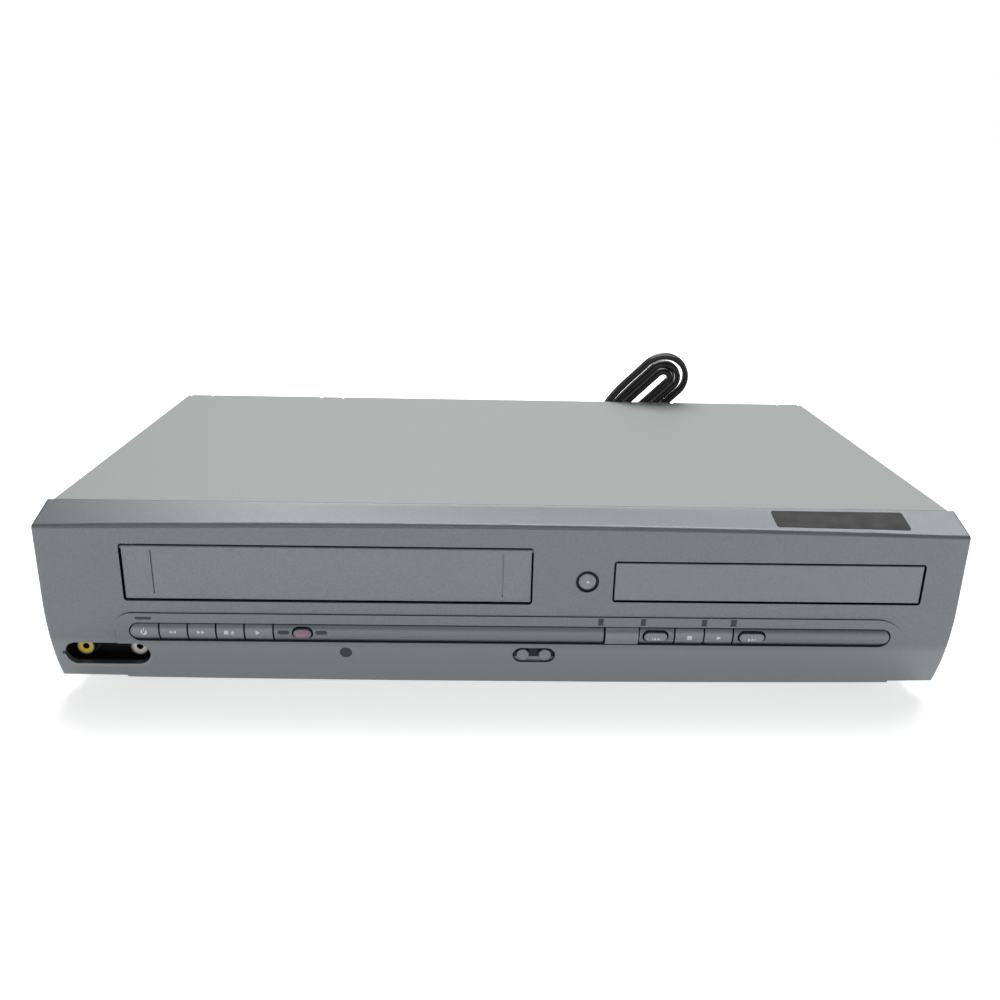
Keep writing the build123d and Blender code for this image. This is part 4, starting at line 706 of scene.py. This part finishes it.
def cord_points():
    """The cord's control points, and how many of them are its lead and its tail."""
    hank = hank_points()
    bottom = hank_point((ENTRY_RADIUS - HANK_FIRST) * math.sin(HANK_RISE), 0)  # of the first loop
    lead = [
        Vector((RELIEF_X, RELIEF_END, RELIEF_Z)),
        Vector((RELIEF_X, RELIEF_END + 22, RELIEF_Z)),
        Vector((RELIEF_X - 13, RELIEF_END + 42, RELIEF_Z - 6)),
        Vector((RELIEF_X - 35, RELIEF_END + 52, RELIEF_Z - 17)),
        Vector((RELIEF_X - 59, RELIEF_END + 43, TABLE + 6)),
        Vector((RELIEF_X - 81, RELIEF_END + 21, TABLE + 0.5)),
        bottom + Vector((CORD_WIDE + 26, 0, 0)),
        bottom + Vector((ENTRY_RADIUS * NEAR_END, 0, 0)),
    ]
    finish, before = hank[-1], hank[-2]
    heading = (finish - before).normalized()
    tail = [
        finish + heading * 22,
        Vector((PLUG_X + 68, PLUG_DEPTH - 7, TABLE)),
        Vector((PLUG_X + 44, PLUG_DEPTH + 2, TABLE + 0.4)),
        Vector((PLUG_X + 22, PLUG_DEPTH, PLUG_Z)),
        Vector((PLUG_X, PLUG_DEPTH, PLUG_Z)),
    ]
    return lead + hank + tail, len(lead), len(tail)


def cord_route(points):
    """The cord's own line: a NURBS spline with the route's points as its control points."""
    curve = bpy.data.curves.new("mains_cord_route", "CURVE")
    curve.dimensions = "3D"
    curve.resolution_u = 8
    spline = curve.splines.new("NURBS")
    spline.points.add(len(points) - 1)
    for spot, point in zip(spline.points, points):
        spot.co = (*place(*point), 1)
    spline.order_u = 3
    spline.use_endpoint_u = True
    line = add_object("mains_cord_route", curve)
    mesh = bpy.data.meshes.new_from_object(line)
    path = [v.co.copy() for v in mesh.vertices]
    bpy.data.objects.remove(line)
    return path


def cord_section(count=24):
    """The cord's outline: two round cores with a shallow groove between them."""
    core = CORD_THICK / 2
    outline = []
    for i in range(count):
        turn = 2 * math.pi * (i + 0.5) / count
        wide = CORD_WIDE / 2 * math.cos(turn)
        inside = max(0.0, core**2 - max(0.0, abs(wide) - CORE_OFFSET) ** 2)
        thick = math.sqrt(inside)
        if abs(wide) < CORE_OFFSET:
            thick = max(GROOVE_HALF, math.sqrt(core**2 - (CORE_OFFSET - abs(wide)) ** 2))
        outline.append((wide * MM, math.copysign(thick, math.sin(turn)) * MM))
    return outline


TWIST_LENGTH = 0.03  # m of cord over which it turns from lying flat to the hank's lay
TWIST_EARLY = 0.02  # m before the hank's end at which the turn back starts


def smooth_step(value):
    value = min(1.0, max(0.0, value))
    return value * value * (3 - 2 * value)


def add_cord():
    points, lead_count, tail_count = cord_points()
    path = cord_route(points)
    lengths = [0.0]
    for a, b in zip(path, path[1:]):
        lengths.append(lengths[-1] + (b - a).length)
    per_point = len(path) / len(points)
    hank_from = lengths[int(lead_count * per_point)]
    hank_to = lengths[min(len(path) - 1, int((len(points) - tail_count) * per_point))]
    section = cord_section()
    bm = bmesh.new()
    rings = []
    for i, point in enumerate(path):
        ahead = path[min(i + 1, len(path) - 1)] - path[max(i - 1, 0)]
        ahead.normalize()
        lying = ahead.cross(Vector((0, 0, 1)))
        begun = smooth_step((lengths[i] - hank_from + TWIST_LENGTH) / TWIST_LENGTH)
        share = begun * smooth_step((hank_to - lengths[i] + TWIST_EARLY) / TWIST_LENGTH)
        side = (lying.normalized() if lying.length > 0.1 else ACROSS) * (1 - share) + ACROSS * share
        side = (side - ahead * side.dot(ahead)).normalized()
        up = side.cross(ahead)
        rings.append([bm.verts.new(point + side * a + up * b) for a, b in section])
    for a, b in zip(rings, rings[1:]):
        for k in range(len(section)):
            n = (k + 1) % len(section)
            bm.faces.new((a[k], a[n], b[n], b[k])).smooth = True
    bm.faces.new(list(reversed(rings[0])))
    bm.faces.new(rings[-1])
    mesh = bpy.data.meshes.new("mains_cord")
    bm.to_mesh(mesh)
    bm.free()
    cord = add_object("mains_cord", mesh)
    mesh.materials.append(mats["cord_black"].material)
    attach(cord, "case")
    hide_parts("cord_lead", "cord_hank", "cord_tail")
    print("cord length", round(lengths[-1], 3), "points", len(points), len(path))


# ---------------------------------------------------------------- studio

FLOOR_HALF = 6.0
GLOW_REACH = (0.3, 0.9)  # the floor whitens from the object outwards, m
GLOW = (0.55, 1.0)
WORLD_LIGHT = 0.34
WORLD_SEEN = 1.0


def add_stage():
    """A pale floor that keeps the object's shadow and fades to white."""
    mesh = bpy.data.meshes.new("studio_floor")
    bm = bmesh.new()
    corners = ((-1, -1), (1, -1), (1, 1), (-1, 1))
    bm.faces.new([bm.verts.new((x * FLOOR_HALF, y * FLOOR_HALF, 0)) for x, y in corners])
    bm.to_mesh(mesh)
    bm.free()
    floor = add_object("studio_floor", mesh)
    s = Shader("studio_white", (0.9, 0.9, 0.9), 0.9)
    s.bsdf.inputs["Emission Color"].default_value = (1, 1, 1, 1)
    s.link(s.ramp(s.length(s.coords), *GLOW_REACH, *GLOW), s.bsdf.inputs["Emission Strength"])
    mesh.materials.append(s.material)


def add_world():
    """White behind the object, and softer where it lights it."""
    world = bpy.data.worlds.new("studio_world")
    bpy.context.scene.world = world
    world.use_nodes = True
    tree = world.node_tree
    tree.nodes.clear()
    path = tree.nodes.new("ShaderNodeLightPath")
    backs = []
    for strength in (WORLD_LIGHT, WORLD_SEEN):
        back = tree.nodes.new("ShaderNodeBackground")
        back.inputs["Color"].default_value = (1, 1, 1, 1)
        back.inputs["Strength"].default_value = strength
        backs.append(back)
    mix = tree.nodes.new("ShaderNodeMixShader")
    out = tree.nodes.new("ShaderNodeOutputWorld")
    tree.links.new(path.outputs["Is Camera Ray"], mix.inputs["Fac"])
    tree.links.new(backs[0].outputs["Background"], mix.inputs[1])
    tree.links.new(backs[1].outputs["Background"], mix.inputs[2])
    tree.links.new(mix.outputs["Shader"], out.inputs["Surface"])


def add_area(name, where, target, size, energy):
    light = bpy.data.lights.new(name, "AREA")
    light.shape = "RECTANGLE"
    light.size, light.size_y = size
    light.energy = energy
    lamp = add_object(name, light)
    lamp.location = where
    lamp.rotation_euler = (Vector(target) - Vector(where)).to_track_quat("-Z", "Y").to_euler()


# The camera that took the photograph, in mm from the face and the cover's top, and in degrees.
CAMERA_X = -16.3
CAMERA_DEPTH = -403.0
CAMERA_UP = 149.1
CAMERA_YAW = 1.748
CAMERA_PITCH = 19.146
CAMERA_ROLL = 1.338
FOCAL_SHARE = 0.93726  # focal length over the picture's width
SENSOR = 36.0


def add_camera():
    data = bpy.data.cameras.new("camera")
    data.sensor_width = SENSOR
    data.lens = SENSOR * FOCAL_SHARE
    data.clip_start = 0.01
    yaw, pitch, roll = (math.radians(a) for a in (CAMERA_YAW, CAMERA_PITCH, CAMERA_ROLL))
    ahead = Vector((math.sin(yaw) * math.cos(pitch), math.cos(yaw) * math.cos(pitch), -math.sin(pitch)))
    level = Vector((math.cos(yaw), -math.sin(yaw), 0))
    upright = level.cross(ahead)
    right = level * math.cos(roll) + upright * math.sin(roll)
    up = upright * math.cos(roll) - level * math.sin(roll)
    turn = Matrix((right, up, -ahead)).transposed().to_4x4()
    camera = add_object("camera", data)
    camera.matrix_world = Matrix.Translation(place(CAMERA_X, CAMERA_DEPTH, HEIGHT + CAMERA_UP)) @ turn
    bpy.context.scene.camera = camera


dress_cad()
add_marks()
add_label()
add_cord()
add_stage()
add_world()
add_area("top_light", (0.15, 0.5, 1.3), (0, 0.05, 0.1), (1.8, 1.0), 25)
add_area("front_light", (-0.3, -1.5, 0.9), (0, -0.1, 0.05), (1.4, 0.4), 2.5)
add_camera()
bpy.context.scene.view_settings.view_transform = "Standard"
